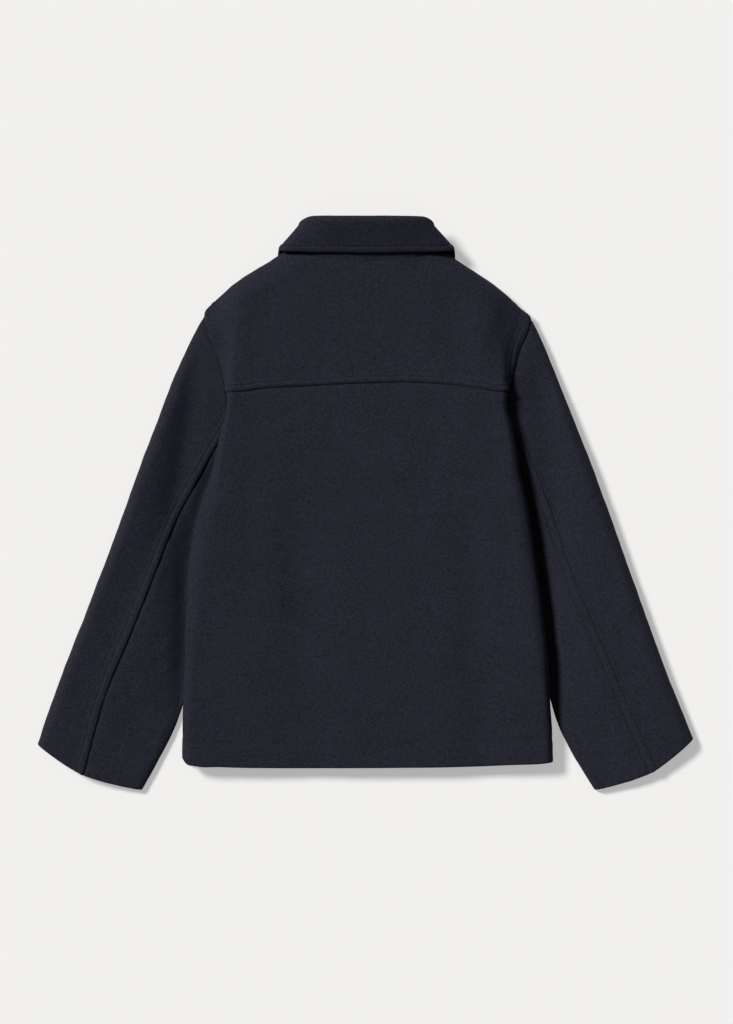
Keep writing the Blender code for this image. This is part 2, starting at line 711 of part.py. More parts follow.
COAT = bpy.data.collections.new("short_coat")
CUTTERS = bpy.data.collections.new("cutters")
for group in (COAT, CUTTERS):
    bpy.context.scene.collection.children.link(group)

NAVY = (0.0142, 0.0166, 0.0275)
HORN = (0.012, 0.012, 0.016)
HALF_GAP = SEAM_GAP / 2
UP = (0, 0, 1)
DOWN = (0, 0, -1)

# How far each piece is drawn back from the sewn edges where the pieces meet at a slant
SHOULDER_TRIM = 1.2
SIDE_TRIM = 0.5
NECK_TRIM = 1.3
FRONT_NECK_TRIM = 0.6
FRONT_SIDE_TRIM = 1.0
TOP_ARM_TRIM = 1.0
UNDER_ARM_TRIM = 2.4

# The lines of each grid, closer where the cloth rounds over
FRONT_CROSS = np.array(
    [0, 0.06, 0.12, 0.18, 0.28, 0.4, 0.53, 0.66, 0.78, 0.88, 0.945, 0.98, 0.992, 1]
)
YOKE_DOWN = np.concatenate([ease(np.linspace(0, 0.5, 6)) / 2, np.linspace(0.25, 1, 7)[1:]])
COLLAR_UP = np.concatenate(
    [
        np.linspace(0, FOLD_FROM, 4),
        np.linspace(FOLD_FROM, FOLD_TO, 7)[1:],
        np.linspace(FOLD_TO, 1, 5)[1:],
    ]
)
CROSS = np.concatenate(
    [
        np.linspace(0, RIDGE_AT, 10),
        np.linspace(RIDGE_AT, SIDE_AT, 4)[1:],
        np.linspace(SIDE_AT, 1, 4)[1:],
    ]
)
CROSS = np.concatenate([-CROSS[:0:-1], CROSS])


def build_coat():
    v, q = np.meshgrid(YOKE_DOWN, CROSS, indexing="ij")
    points = trim(yoke_surface(q, v), SHOULDER_TRIM, HALF_GAP, SIDE_TRIM, SIDE_TRIM)
    cloth("back_yoke", points, WALL, NAVY, (6, 14, UP))

    v, q = np.meshgrid(np.linspace(0, 1, 17), CROSS, indexing="ij")
    points = trim(back_surface(q, v), HALF_GAP, 0, SIDE_TRIM, SIDE_TRIM)
    cloth("back_panel", points, WALL, NAVY, (6, 14, UP))

    for side, word in ((-1, "left"), (1, "right")):
        v, u = np.meshgrid(np.linspace(0, 1, 19), FRONT_CROSS, indexing="ij")
        points = trim(front_surface(side, u, v), FRONT_NECK_TRIM, 0, 0, FRONT_SIDE_TRIM)
        cloth(f"front_{word}", points, WALL, NAVY, (10, 5, DOWN))

        t, u = grid(15, 18)
        points = trim(top_sleeve(side, u, t), TOP_ARM_TRIM, 0, HALF_GAP, HALF_GAP)
        cloth(f"sleeve_top_{word}", points, WALL, NAVY, (8, 2, UP))

        t, u = grid(15, 13)
        points = trim(under_sleeve(side, u, t), UNDER_ARM_TRIM, 0, HALF_GAP, HALF_GAP)
        cloth(f"sleeve_under_{word}", points, WALL, NAVY, (8, 2, UP))

    h, t = np.meshgrid(COLLAR_UP, np.linspace(0, 1, 37), indexing="ij")
    points = trim(collar_surface(t, h), NECK_TRIM)
    cloth("collar", points, COLLAR_WALL, NAVY, (12, 18, UP))

    for i, down in enumerate(BUTTONS_DOWN, 1):
        button(f"button_{i}", down)


build_coat()
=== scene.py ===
"""The looks of a short melton coat, laid on its front so that its back shows.

Sizes are millimetres until a mesh is made. x runs across the back, to the reader's right,
"down" is measured along the back from the top of the collar, and z is the height above the
surface that the coat lies on.
"""

import bpy
import numpy as np
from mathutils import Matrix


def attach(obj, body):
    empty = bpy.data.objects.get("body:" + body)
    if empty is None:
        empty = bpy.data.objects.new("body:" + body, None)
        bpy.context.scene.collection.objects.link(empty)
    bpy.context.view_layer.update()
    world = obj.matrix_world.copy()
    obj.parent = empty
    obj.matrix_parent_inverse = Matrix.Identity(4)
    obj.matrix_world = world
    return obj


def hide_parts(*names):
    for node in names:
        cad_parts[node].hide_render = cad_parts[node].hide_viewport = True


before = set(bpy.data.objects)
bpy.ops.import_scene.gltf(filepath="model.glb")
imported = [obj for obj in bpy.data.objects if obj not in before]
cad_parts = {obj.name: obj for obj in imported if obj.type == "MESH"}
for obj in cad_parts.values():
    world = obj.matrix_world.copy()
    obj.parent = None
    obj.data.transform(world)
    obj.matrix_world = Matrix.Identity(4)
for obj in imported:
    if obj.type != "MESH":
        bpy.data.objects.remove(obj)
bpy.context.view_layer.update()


# Melton cloth
# A heavy navy wool, woven, then milled until its threads felt into one soft face. Short
# fibres of lighter and darker wool lie on it every way, and it catches light at a slant.
# It is the same cloth in every piece of the coat.

NAVY = (0.0100, 0.0107, 0.0172)
LIGHT_WOOL = (0.0235, 0.0250, 0.0375)
DARK_WOOL = (0.0036, 0.0040, 0.0072)
FIBRE_SIZE = 0.0011
TUFT_SIZE = 0.0030


class Value:
    """A number that varies over a surface, so that Python's operators add Math nodes."""

    def __init__(self, nodes, socket):
        self.nodes = nodes
        self.socket = socket

    def __add__(self, other):
        return self.nodes.maths("ADD", self, other)

    def __sub__(self, other):
        return self.nodes.maths("SUBTRACT", self, other)

    def __rsub__(self, other):
        return self.nodes.maths("SUBTRACT", other, self)

    def __mul__(self, other):
        return self.nodes.maths("MULTIPLY", self, other)

    __radd__ = __add__
    __rmul__ = __mul__


class Finish:
    """One material. add() puts in a node: its type, its settings, then its sockets."""

    def __init__(self, name, colour, roughness):
        self.material = bpy.data.materials.new(name)
        self.material.use_nodes = True
        self.material.diffuse_color = (*colour, 1)
        self.tree = self.material.node_tree
        self.shader = self.tree.nodes["Principled BSDF"]
        self.set_shader("Base Color", (*colour, 1))
        self.set_shader("Roughness", roughness)

    def plain(self, value):
        return value.socket if isinstance(value, Value) else value

    def maths(self, operation, *values):
        sockets = dict(enumerate(values))
        return self.add("ShaderNodeMath", {"operation": operation}, sockets)

    def put(self, socket, value):
        value = self.plain(value)
        if isinstance(value, bpy.types.NodeSocket):
            self.tree.links.new(value, socket)
        else:
            socket.default_value = value

    def add(self, kind, settings=None, sockets=None, output=0):
        node = self.tree.nodes.new(kind)
        for name, value in (settings or {}).items():
            setattr(node, name, value)
        for name, value in (sockets or {}).items():
            self.put(node.inputs[name], value)
        return Value(self, node.outputs[output])

    def ramp(self, value, stops):
        """A number ramp from (place, number) stops."""
        made = self.add("ShaderNodeValToRGB", None, {"Fac": value})
        band = made.socket.node.color_ramp
        while len(band.elements) < len(stops):
            band.elements.new(0.5)
        for element, (place, number) in zip(band.elements, stops):
            element.position = place
            element.color = (number, number, number, 1)
        return made

    def mix(self, factor, first, second):
        """Two colours mixed by a factor. In a Mix node, sockets 6 and 7 are its colours."""
        return self.add(
            "ShaderNodeMix",
            {"data_type": "RGBA"},
            {0: factor, 6: self.colour(first), 7: self.colour(second)},
            output=2,
        )

    def colour(self, value):
        return (*value, 1) if isinstance(value, tuple) and len(value) == 3 else value

    def noise(self, place, scale, detail=2.0, roughness=0.5):
        """Noise whose patches are about half of scale across, in metres."""
        return self.add(
            "ShaderNodeTexNoise",
            None,
            {"Vector": place, "Scale": 1 / scale, "Detail": detail, "Roughness": roughness},
        )

    def set_shader(self, name, value):
        self.put(self.shader.inputs[name], value)


def melton(name):
    """Felted wool: tufts and fibres lighten, darken and roughen the navy ground."""
    cloth = Finish(name, NAVY, 0.85)
    place = cloth.add("ShaderNodeTexCoord", output=3)
    tufts = cloth.noise(place, TUFT_SIZE, 3.0, 0.6)
    fibres = cloth.noise(place, FIBRE_SIZE, 2.0, 0.65)
    stretched = cloth.add("ShaderNodeMapping", None, {"Vector": place, "Scale": (1, 0.35, 1)})
    hairs = cloth.noise(stretched, FIBRE_SIZE * 0.8, 1.0, 0.5)
    broad = cloth.noise(place, 0.05, 2.0, 0.5)
    light = cloth.ramp(tufts * 0.35 + fibres * 0.4 + hairs * 0.25, ((0.44, 0.0), (0.70, 1.0)))
    dark = cloth.ramp(tufts * 0.45 + fibres * 0.55, ((0.34, 1.0), (0.52, 0.0)))
    ground = cloth.mix(dark * 0.75, NAVY, DARK_WOOL)
    ground = cloth.mix(light * 0.9, ground, LIGHT_WOOL)
    ground = cloth.mix((broad - 0.35) * 0.2, ground, LIGHT_WOOL)
    cloth.set_shader("Base Color", ground)
    cloth.set_shader("Roughness", 0.78 + fibres * 0.18)
    cloth.set_shader("Specular IOR Level", 0.08)
    cloth.set_shader("Sheen Weight", 0.045)
    cloth.set_shader("Sheen Roughness", 0.55)
    cloth.set_shader("Sheen Tint", (0.62, 0.68, 0.95, 1))
    height = tufts * 0.5 + fibres * 0.32 + hairs * 0.18
    bump = cloth.add("ShaderNodeBump", None, {"Strength": 0.55, "Distance": 0.0009, "Height": height})
    cloth.set_shader("Normal", bump)
    return cloth.material


MELTON = melton("navy_melton")


# Back panel
# One wide piece of melton from the yoke seam to the hem. Its sides turn over to the side
# seams underneath, its top edge is sewn under the yoke, and its hem is turned up inside.

def table(columns, *rows):
    """The rows' values by column name."""
    return {name: np.array(column, float) for name, column in zip(columns.split(), zip(*rows))}


# The body's section from the yoke seam to the hem: where the back turns over (ridge), its
# widest place (side), and where it ends at the armhole or the side seam (end).
BODY = {
    -1: table(
        "down ridge side side_z end end_z",
        (214, 172, 180.5, 29, 182.5, 21.5),
        (226, 173, 180, 28, 182, 20.5),
        (244, 175, 180, 27, 179, 18.5),
        (273, 181, 186, 27, 175, 17),
        (296, 184, 192, 27, 171, 15.5),
        (329, 188, 199.5, 27, 167, 12.5),
        (355, 191, 208, 27, 169, 14),
        (394, 198, 220, 26, 177, 15),
        (446, 207, 228.5, 26, 188, 15),
        (498, 214, 232.5, 25, 200, 14),
        (563, 222, 234.7, 23, 215, 10.5),
        (628, 227, 237, 20, 226, 7.5),
        (698, 229, 239, 17, 231, 6),
        (718, 229, 238.5, 16, 231, 6),
    ),
    1: table(
        "down ridge side side_z end end_z",
        (214, 176, 183, 29, 184.5, 21.5),
        (226, 176, 182.5, 28, 184, 20.5),
        (244, 175, 182, 27, 180, 18.5),
        (273, 179, 188.5, 27, 174, 17),
        (296, 182, 193, 27, 170, 15.5),
        (329, 187, 198, 27, 166, 12.5),
        (355, 190, 203.5, 27, 168, 14),
        (394, 196, 211.5, 26, 176, 15),
        (446, 203, 219, 26, 186, 15),
        (498, 210, 226, 25, 197, 14),
        (563, 220, 233.5, 23, 213, 10.5),
        (628, 228, 238, 20, 227, 7.5),
        (698, 232, 241.5, 17, 234, 6),
        (718, 232, 242, 16, 234, 6),
    ),
}

# Heights of the back along its centre and along the ridge
BACK_HEIGHT = table(
    "down centre ridge",
    (30, 37, 30),
    (56, 38, 33),
    (127, 39, 37),
    (220, 39, 42),
    (400, 38, 42.5),
    (600, 35, 38),
    (718, 29, 31),
)

# Long shallow troughs down the back: place across, width, depth, and where they start
BACK_TROUGHS = table("x width depth start", (-84, 24, 3.0, 300), (146, 20, 3.0, 330))


# The yoke seam and the hem, across the back
YOKE_SEAM = table(
    "x down",
    (-186, 225),
    (-172, 226),
    (-137, 222),
    (-73, 218),
    (4, 214.5),
    (58, 213.7),
    (110, 217),
    (146, 221.5),
    (176, 226),
    (188, 225),
)
HEM = table(
    "x down",
    (-240, 703),
    (-236, 709),
    (-223, 713.5),
    (-190, 715),
    (-30, 716.5),
    (45, 716),
    (136, 714.5),
    (183, 712.5),
    (230, 710.5),
    (243, 709),
)

HEM_END_X = 233.0
BACK_LENGTH = 495.0


# A section's fractions, from the centre back (0) to the side seam or armhole (1)
RIDGE_AT = 0.72
SIDE_AT = 0.88
WALL = 2.2
LENGTH_ABOVE_ORIGIN = 373.1
CENTRE_BACK_X = 1.5
UP = np.array((0.0, 0.0, 1.0))
DOWN = -UP

# Distances from a sewn edge, close together where the seam is rounded and stitched
NEAR_SEAM = (0, 0.5, 1.1, 1.8, 2.7, 3.8, 5.0, 6.1, 6.9, 7.6, 8.4, 9.2, 10.0, 11.0, 12.5, 14.5, 17)
NEAR_EDGE = (0, 0.8, 1.8, 3.0, 5.0, 7.5)
SEAM_SWELL = 0.7
STITCH_GROOVE = 1.0
TUCK_REACH = 3.5
TUCK_DROP = 1.6
TUCK_SLOPE = 7.0
HEM_ROLL = 1.5
HEM_TURNED_UP = 28.0
CLOTH_STEP = 3.0

def curve(at, stops, values):
    """The value at each place, on a smooth curve through the table's values."""
    slopes = np.gradient(values, stops)
    at = np.clip(at, stops[0], stops[-1])
    i = np.clip(np.searchsorted(stops, at, side="right") - 1, 0, len(stops) - 2)
    step = stops[i + 1] - stops[i]
    f = (at - stops[i]) / step
    ahead = values[i] * (1 + 2 * f) * (1 - f) ** 2 + values[i + 1] * f**2 * (3 - 2 * f)
    return ahead + step * (slopes[i] * f * (1 - f) ** 2 - slopes[i + 1] * f**2 * (1 - f))


def ease(f):
    """0 to 1, flat at both ends."""
    f = np.clip(f, 0, 1)
    return f * f * (3 - 2 * f)


def quarter(f):
    """The height of a quarter round, from 0 at its edge to 1 where it is flat."""
    return np.sqrt(1 - (1 - np.clip(f, 0, 1)) ** 2)


def on_side(side, which, name, down):
    return curve(down, which[side]["down"], which[side][name])


def plateau(x, down):
    """Height of the back between its ridges: a shallow dish with two long troughs."""
    ridge = np.where(
        x < 0,
        curve(down, BODY[-1]["down"], BODY[-1]["ridge"]),
        curve(down, BODY[1]["down"], BODY[1]["ridge"]),
    )
    centre_z = curve(down, BACK_HEIGHT["down"], BACK_HEIGHT["centre"])
    ridge_z = curve(down, BACK_HEIGHT["down"], BACK_HEIGHT["ridge"])
    z = centre_z + (ridge_z - centre_z) * np.clip(np.abs(x) / ridge, 0, 1) ** 2.4
    for place, width, depth, start in zip(*BACK_TROUGHS.values()):
        z -= depth * ease((down - start) / 150) * np.exp(-(((x - place) / width) ** 2) / 2)
    return z


def back_section(q, down):
    """(x, z) of the back at fraction q across: flat to the ridge, then two quarter rounds."""
    x = np.zeros_like(q)
    z = np.zeros_like(q)
    for side in (-1, 1):
        ridge, wide, wide_z, end, end_z = (
            on_side(side, BODY, name, down)
            for name in ("ridge", "side", "side_z", "end", "end_z")
        )
        ridge_z = plateau(side * ridge, down)
        part = np.abs(q)
        over = np.pi / 2 * (part - RIDGE_AT) / (SIDE_AT - RIDGE_AT)
        under = np.pi / 2 * (part - SIDE_AT) / (1 - SIDE_AT)
        flat_x = ridge * part / RIDGE_AT
        at_x = np.select(
            [part <= RIDGE_AT, part <= SIDE_AT],
            [flat_x, ridge + (wide - ridge) * np.sin(over)],
            end + (wide - end) * np.cos(under),
        )
        at_z = np.select(
            [part <= RIDGE_AT, part <= SIDE_AT],
            [plateau(side * flat_x, down), wide_z + (ridge_z - wide_z) * np.cos(over)],
            wide_z - (wide_z - end_z) * np.sin(under),
        )
        here = q * side > 0
        x = np.where(here, side * at_x, x)
        z = np.where(here | (q == 0), at_z, z)
    return x, z


def back_surface(q, v):
    """The back below the yoke, from its seam (v 0) to the hem (v 1)."""
    down = YOKE_SEAM["down"].mean() + v * BACK_LENGTH
    for _ in range(3):
        x, z = back_section(q, down)
        top = curve(x, YOKE_SEAM["x"], YOKE_SEAM["down"])
        down = top + v * (curve(x, HEM["x"], HEM["down"]) - top)
    return np.stack([x, down, z], axis=-1)


def spaced(length, step, first=(0,), last=(0,)):
    """Fractions 0 to 1 along a length: a step apart, and at given distances from its ends."""
    start, end = first[-1], length - last[-1]
    middle = np.linspace(start, end, max(2, round((end - start) / step)))
    return np.concatenate([first[:-1], middle, length - np.array(last[:-1])[::-1]]) / length


def facing(points, way):
    """Unit normals of a grid, the cross product of its two directions, on the side where the
    one in the middle looks the given way."""
    across = np.cross(np.gradient(points, axis=0), np.gradient(points, axis=1))
    across /= np.linalg.norm(across, axis=-1, keepdims=True) + 1e-12
    middle = across[points.shape[0] // 2, points.shape[1] // 2]
    return across * (1 if middle @ way > 0 else -1)


def moved_out(points, amount, normals):
    return points + normals * amount[..., None]


def from_edge(points, axis, last=False):
    """Distance of each point along the cloth from the first or the last edge of its grid."""
    steps = np.linalg.norm(np.diff(points, axis=axis), axis=-1)
    along = np.cumsum(steps, axis=axis)
    along = np.concatenate([np.zeros_like(along.take([0], axis=axis)), along], axis=axis)
    return along.take([-1], axis=axis) - along if last else along


def wander(at, spacing, seed):
    """Smooth random values from -1 to 1 along a line, a new one every spacing."""
    stops = np.arange(at.min() - spacing, at.max() + 3 * spacing, spacing)
    return curve(at, stops, np.random.default_rng(seed).uniform(-1, 1, len(stops)))


def rumple(x, down, size, seed, waves=14):
    """Soft unevenness: the sum of waves of about one length, each its own way, about 1 high."""
    random = np.random.default_rng(seed)
    way = random.uniform(0, np.pi, waves)
    length = size * random.uniform(0.7, 1.5, waves)
    start = random.uniform(0, 2 * np.pi, waves)
    total = np.zeros_like(x)
    for w, l, s in zip(way, length, start):
        total += np.cos(2 * np.pi * (x * np.cos(w) + down * np.sin(w)) / l + s)
    return total / np.sqrt(waves)


def crease(x, down, path, width, depth):
    """A soft trough along a smooth path of (x, down), deepest midway and gone at its ends: a
    bell curve of the distance from the path."""
    path = np.array(path, float)
    f = np.linspace(0, 1, 60)
    stops = np.linspace(0, 1, len(path))
    line_x, line_down = curve(f, stops, path[:, 0]), curve(f, stops, path[:, 1])
    away = np.hypot(x[..., None] - line_x, down[..., None] - line_down)
    nearest = np.argmin(away, axis=-1)
    fade = np.sin(np.pi * f[nearest]) ** 0.7
    return -depth * fade * np.exp(-((away.min(axis=-1) / width) ** 2) / 2)


def softened(values, times, axis):
    """Smooths a grid's values along an axis: a running mean of each with its neighbours, half
    its own, repeated. The edges stay."""
    rows = values.swapaxes(0, axis).copy()
    for _ in range(times):
        rows[1:-1] = rows[1:-1] / 2 + (rows[:-2] + rows[2:]) / 4
    return rows.swapaxes(0, axis)


def lapped(d, stitch, lift, slope=6.0):
    """Rise of the upper side of a seam at distance d from its edge: a quarter round, a
    swelling over the turned allowance, a groove at the stitches, then a slope back."""
    rise = lift * quarter(d / 2.4) * (1 - ease((d - stitch) / slope))
    swell = SEAM_SWELL * np.sin(np.pi * np.clip(d / stitch, 0, 1))
    groove = STITCH_GROOVE * np.exp(-(((d - stitch) / 1.3) ** 2))
    return rise + swell - groove


def tucked(d):
    """Drop of the under side of a seam at distance d from its edge."""
    return -TUCK_DROP * (1 - ease(d / TUCK_SLOPE))


def reach_under(points, axis, last, reach=TUCK_REACH):
    """Adds a line of points beyond an edge, straight on, that goes under the piece above."""
    rows = points.swapaxes(0, axis)
    rows = rows[::-1] if last else rows
    way = rows[0] - rows[1]
    way /= np.linalg.norm(way, axis=-1, keepdims=True)
    rows = np.concatenate([(rows[0] + reach * way)[None], (rows[0] + 0.5 * reach * way)[None], rows])
    rows = rows[::-1] if last else rows
    return rows.swapaxes(0, axis)


def turned_up(points, way, axis=0, roll=HEM_ROLL, allowance=HEM_TURNED_UP):
    """Rolls the last edge of a grid through a half circle to the inside, then lays its
    allowance back along the cloth."""
    rows = points.swapaxes(0, axis)
    inside = -facing(points, way).swapaxes(0, axis)[-1]
    out = rows[-1] - rows[-2]
    out /= np.linalg.norm(out, axis=-1, keepdims=True)
    inside -= out * np.sum(out * inside, axis=-1, keepdims=True)
    inside /= np.linalg.norm(inside, axis=-1, keepdims=True)
    angle = np.radians([22.5, 45, 67.5, 90, 112.5, 135, 157.5, 180])[:, None, None]
    rolled = rows[-1] + out * roll * np.sin(angle) + inside * roll * (1 - np.cos(angle))
    back = np.array([0.25, 0.6, 1.0])[:, None, None] * allowance
    laid = rows[-1] - out * back + inside * 2 * roll
    return np.concatenate([rows, rolled, laid]).swapaxes(0, axis)


def rimmed(points, wall):
    """The grid with three lines added beyond each edge, and half the wall at every point, so
    that the two faces close in a half round."""
    angle = np.radians([35.0, 65.0, 90.0])
    half = np.ones(points.shape[:2])
    for _ in range(2):
        first, last = points[0] - points[1], points[-1] - points[-2]
        first /= np.linalg.norm(first, axis=-1, keepdims=True) + 1e-12
        last /= np.linalg.norm(last, axis=-1, keepdims=True) + 1e-12
        out = (wall / 2 * np.sin(angle))[:, None, None]
        points = np.concatenate([(points[0] + out * first)[::-1], points, points[-1] + out * last])
        ends = np.cos(angle)[:, None]
        half = np.concatenate([(ends * half[0])[::-1], half, ends * half[-1]])
        points, half = points.swapaxes(0, 1), half.T
    half[[0, -1]] = 0
    half[:, [0, -1]] = 0
    return points, half * wall / 2


def to_part(points):
    """(x, down, z) in millimetres to the part's own metres."""
    flat = points.reshape(-1, 3)
    return np.stack([flat[:, 0] + CENTRE_BACK_X, LENGTH_ABOVE_ORIGIN - flat[:, 1], flat[:, 2]], axis=1) / 1000


def closed_mesh(name, points, half, normals):
    """A mesh of both faces of a cloth, at half the wall out and in, sharing their edge."""
    rows, columns = points.shape[:2]
    count = rows * columns
    outer = np.arange(count).reshape(rows, columns)
    inner = np.where(half > 0, outer + count, outer)
    both = np.concatenate([moved_out(points, half, normals), moved_out(points, -half, normals)])
    quads = []
    for index, way in ((outer, 1), (inner, -1)):
        quad = np.stack([index[:-1, :-1], index[1:, :-1], index[1:, 1:], index[:-1, 1:]], axis=-1)
        quads.append(quad.reshape(-1, 4)[:, ::way])
    quads = np.concatenate(quads)
    used, quads = np.unique(quads, return_inverse=True)
    quads = quads.reshape(-1, 4)
    places = to_part(both)[used]
    a, b, c, d = (places[quads[:, i]] for i in range(4))
    inside_out = np.sum(a * np.cross(b, c)) + np.sum(a * np.cross(c, d)) < 0
    quads = quads[:, ::-1] if inside_out else quads
    mesh = bpy.data.meshes.new(name)
    mesh.from_pydata(places.tolist(), [], quads.tolist())
    mesh.shade_smooth()
    mesh.update()
    return mesh


def cloth(name, points, way, node, wall=WALL):
    """A cut piece of melton: the grid given its wall and rounded edges, standing for a node."""
    points, half = rimmed(points, wall)
    mesh = closed_mesh(name, points, half, facing(points, way))
    mesh.materials.append(MELTON)
    piece = bpy.data.objects.new(name, mesh)
    bpy.context.scene.collection.objects.link(piece)
    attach(piece, "root")
    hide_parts(node)
    return piece


# Soft troughs and ridges of the back panel: path, width and depth, where a ridge is below 0
BACK_CREASES = (
    (((-96, 300), (-88, 420), (-84, 540), (-92, 650)), 16, 1.3),
    (((-46, 360), (-52, 470), (-48, 600), (-40, 690)), 13, 0.7),
    (((118, 330), (130, 420), (136, 520), (128, 610)), 14, 1.5),
    (((60, 420), (72, 520), (66, 640)), 12, 0.6),
    (((14, 300), (20, 420), (10, 560)), 18, -0.7),
    (((-150, 250), (-146, 340), (-152, 440), (-160, 540)), 11, 0.9),
    (((168, 262), (172, 340), (182, 430), (186, 520)), 10, 1.1),
    (((-205, 620), (-160, 636), (-120, 628)), 9, 0.5),
    (((150, 640), (190, 652), (226, 640)), 9, 0.6),
    (((-176, 232), (-150, 262), (-118, 282)), 9, 0.9),
    (((178, 232), (158, 262), (130, 290)), 9, 0.9),
)
BACK_WIDTH = 560.0

q = 2 * spaced(BACK_WIDTH, CLOTH_STEP, NEAR_EDGE, NEAR_EDGE) - 1
v = spaced(BACK_LENGTH, CLOTH_STEP, NEAR_SEAM, NEAR_EDGE) * (1 - (HEM_ROLL + WALL / 2) / BACK_LENGTH)
v, q = np.meshgrid(v, q, indexing="ij")
points = back_surface(q, v)
points[..., 2] = softened(points[..., 2], 6, 1)
x, down = points[..., 0], points[..., 1]
relief = tucked(from_edge(points, 0))
for path, width, depth in BACK_CREASES:
    relief += crease(x, down, path, width, depth)
relief += 0.32 * rumple(x, down, 70, 3) + 0.12 * rumple(x, down, 24, 4)
relief += 0.35 * wander(x, 9, 5) * np.exp(-from_edge(points, 0) / 6)
relief -= 0.5 * np.exp(-(((from_edge(points, 0, last=True) - HEM_TURNED_UP) / 2.5) ** 2))
points = moved_out(points, relief, facing(points, UP))
points = reach_under(points, 0, last=False)
points = turned_up(points, UP)
back_cloth = cloth("back_panel_cloth", points, UP, "back_panel")


# Back yoke
# The shoulder piece, from the neck and over the shoulders down to a seam across the back.
# Its allowance is pressed up and stitched through 7 mm above the seam, and the body's side
# of each armhole is stitched 10 mm in, so both edges stand a little thick.

# Where the yoke's section leaves the neck, and how far it rounds over at the shoulder
NECK_AT = 0.34
SHOULDER_ROUND = 26.0
SEAM_END_X = 178.0

# Shoulder fold from the side of the neck to the sleeve head, by section fraction
SHOULDER = {
    -1: table(
        "at x down z",
        (0.34, 82, 38, 24),
        (0.43, 104, 45.5, 22),
        (0.52, 126, 58.5, 20),
        (0.62, 151, 74, 18),
        (0.72, 173, 89, 16),
        (0.82, 190, 103.5, 15),
        (0.92, 204, 117, 14),
        (1.0, 210, 127, 13),
    ),
    1: table(
        "at x down z",
        (0.34, 82, 38, 24),
        (0.43, 100, 45.5, 22),
        (0.52, 119.5, 58.5, 20),
        (0.62, 143, 74, 18),
        (0.72, 165, 89, 16),
        (0.82, 184, 104, 15),
        (0.92, 201, 120, 14),
        (1.0, 213, 131, 13),
    ),
}

# Armhole seam from the shoulder to the underarm: the heights of the back and the front at it,
# how far the sleeve lies below the back where the two fold together, and the sleeve's
# underside.
ARMHOLE = {
    -1: table(
        "down x back_z front_z drop sleeve_z",
        (127, 210, 17, 13, 0, 13),
        (153, 204.5, 18, 6, 0, 6),
        (170, 196.5, 19, 3, 0.2, 3),
        (187, 190.5, 20, 1.6, 0.5, 1.6),
        (203, 185.5, 21, 1.1, 1.0, 1.1),
        (220, 182.5, 21, 1.1, 1.8, 1.1),
        (244, 179, 18.5, 1.1, 2.8, 1.1),
        (273, 175, 17, 1.4, 4.0, 1.1),
        (296, 171, 15.5, 5, 5.5, 1.5),
        (329, 167, 12.5, 12.5, 5.5, 5.8),
    ),
    1: table(
        "down x back_z front_z drop sleeve_z",
        (131, 213, 17, 13, 0, 13),
        (153, 207.5, 18, 6, 0, 6),
        (170, 199.5, 19, 3, 0.2, 3),
        (187, 194.5, 20, 1.6, 0.5, 1.6),
        (203, 190.5, 21, 1.1, 1.0, 1.1),
        (220, 185, 21, 1.1, 1.8, 1.1),
        (244, 180, 18.5, 1.1, 2.8, 1.1),
        (273, 174, 17, 1.4, 4.0, 1.1),
        (296, 170, 15.5, 5, 5.5, 1.5),
        (329, 166, 12.5, 12.5, 5.5, 5.8),
    ),
}


# The back neck seam, from its side to the centre back
NECK_SEAM = table("x down", (0, 56.3), (45, 52.3), (73, 46), (82, 38))

def neck_down(x):
    """The back neck seam."""
    return curve(np.abs(x), NECK_SEAM["x"], NECK_SEAM["down"])


def shoulder_point(side, q):
    """(x, down, z) on the shoulder fold at section fraction q."""
    rows = SHOULDER[side]
    return tuple(curve(q, rows["at"], rows[name]) for name in ("x", "down", "z"))


def shoulder_distance(side, x, down):
    """How far each point is from the shoulder fold, and the fold's height there."""
    fold_x, fold_down, fold_z = shoulder_point(side, np.linspace(NECK_AT, 1, 80))
    away = np.hypot(np.abs(x)[..., None] - fold_x, down[..., None] - fold_down)
    nearest = np.argmin(away, axis=-1)
    return np.min(away, axis=-1), fold_z[nearest]


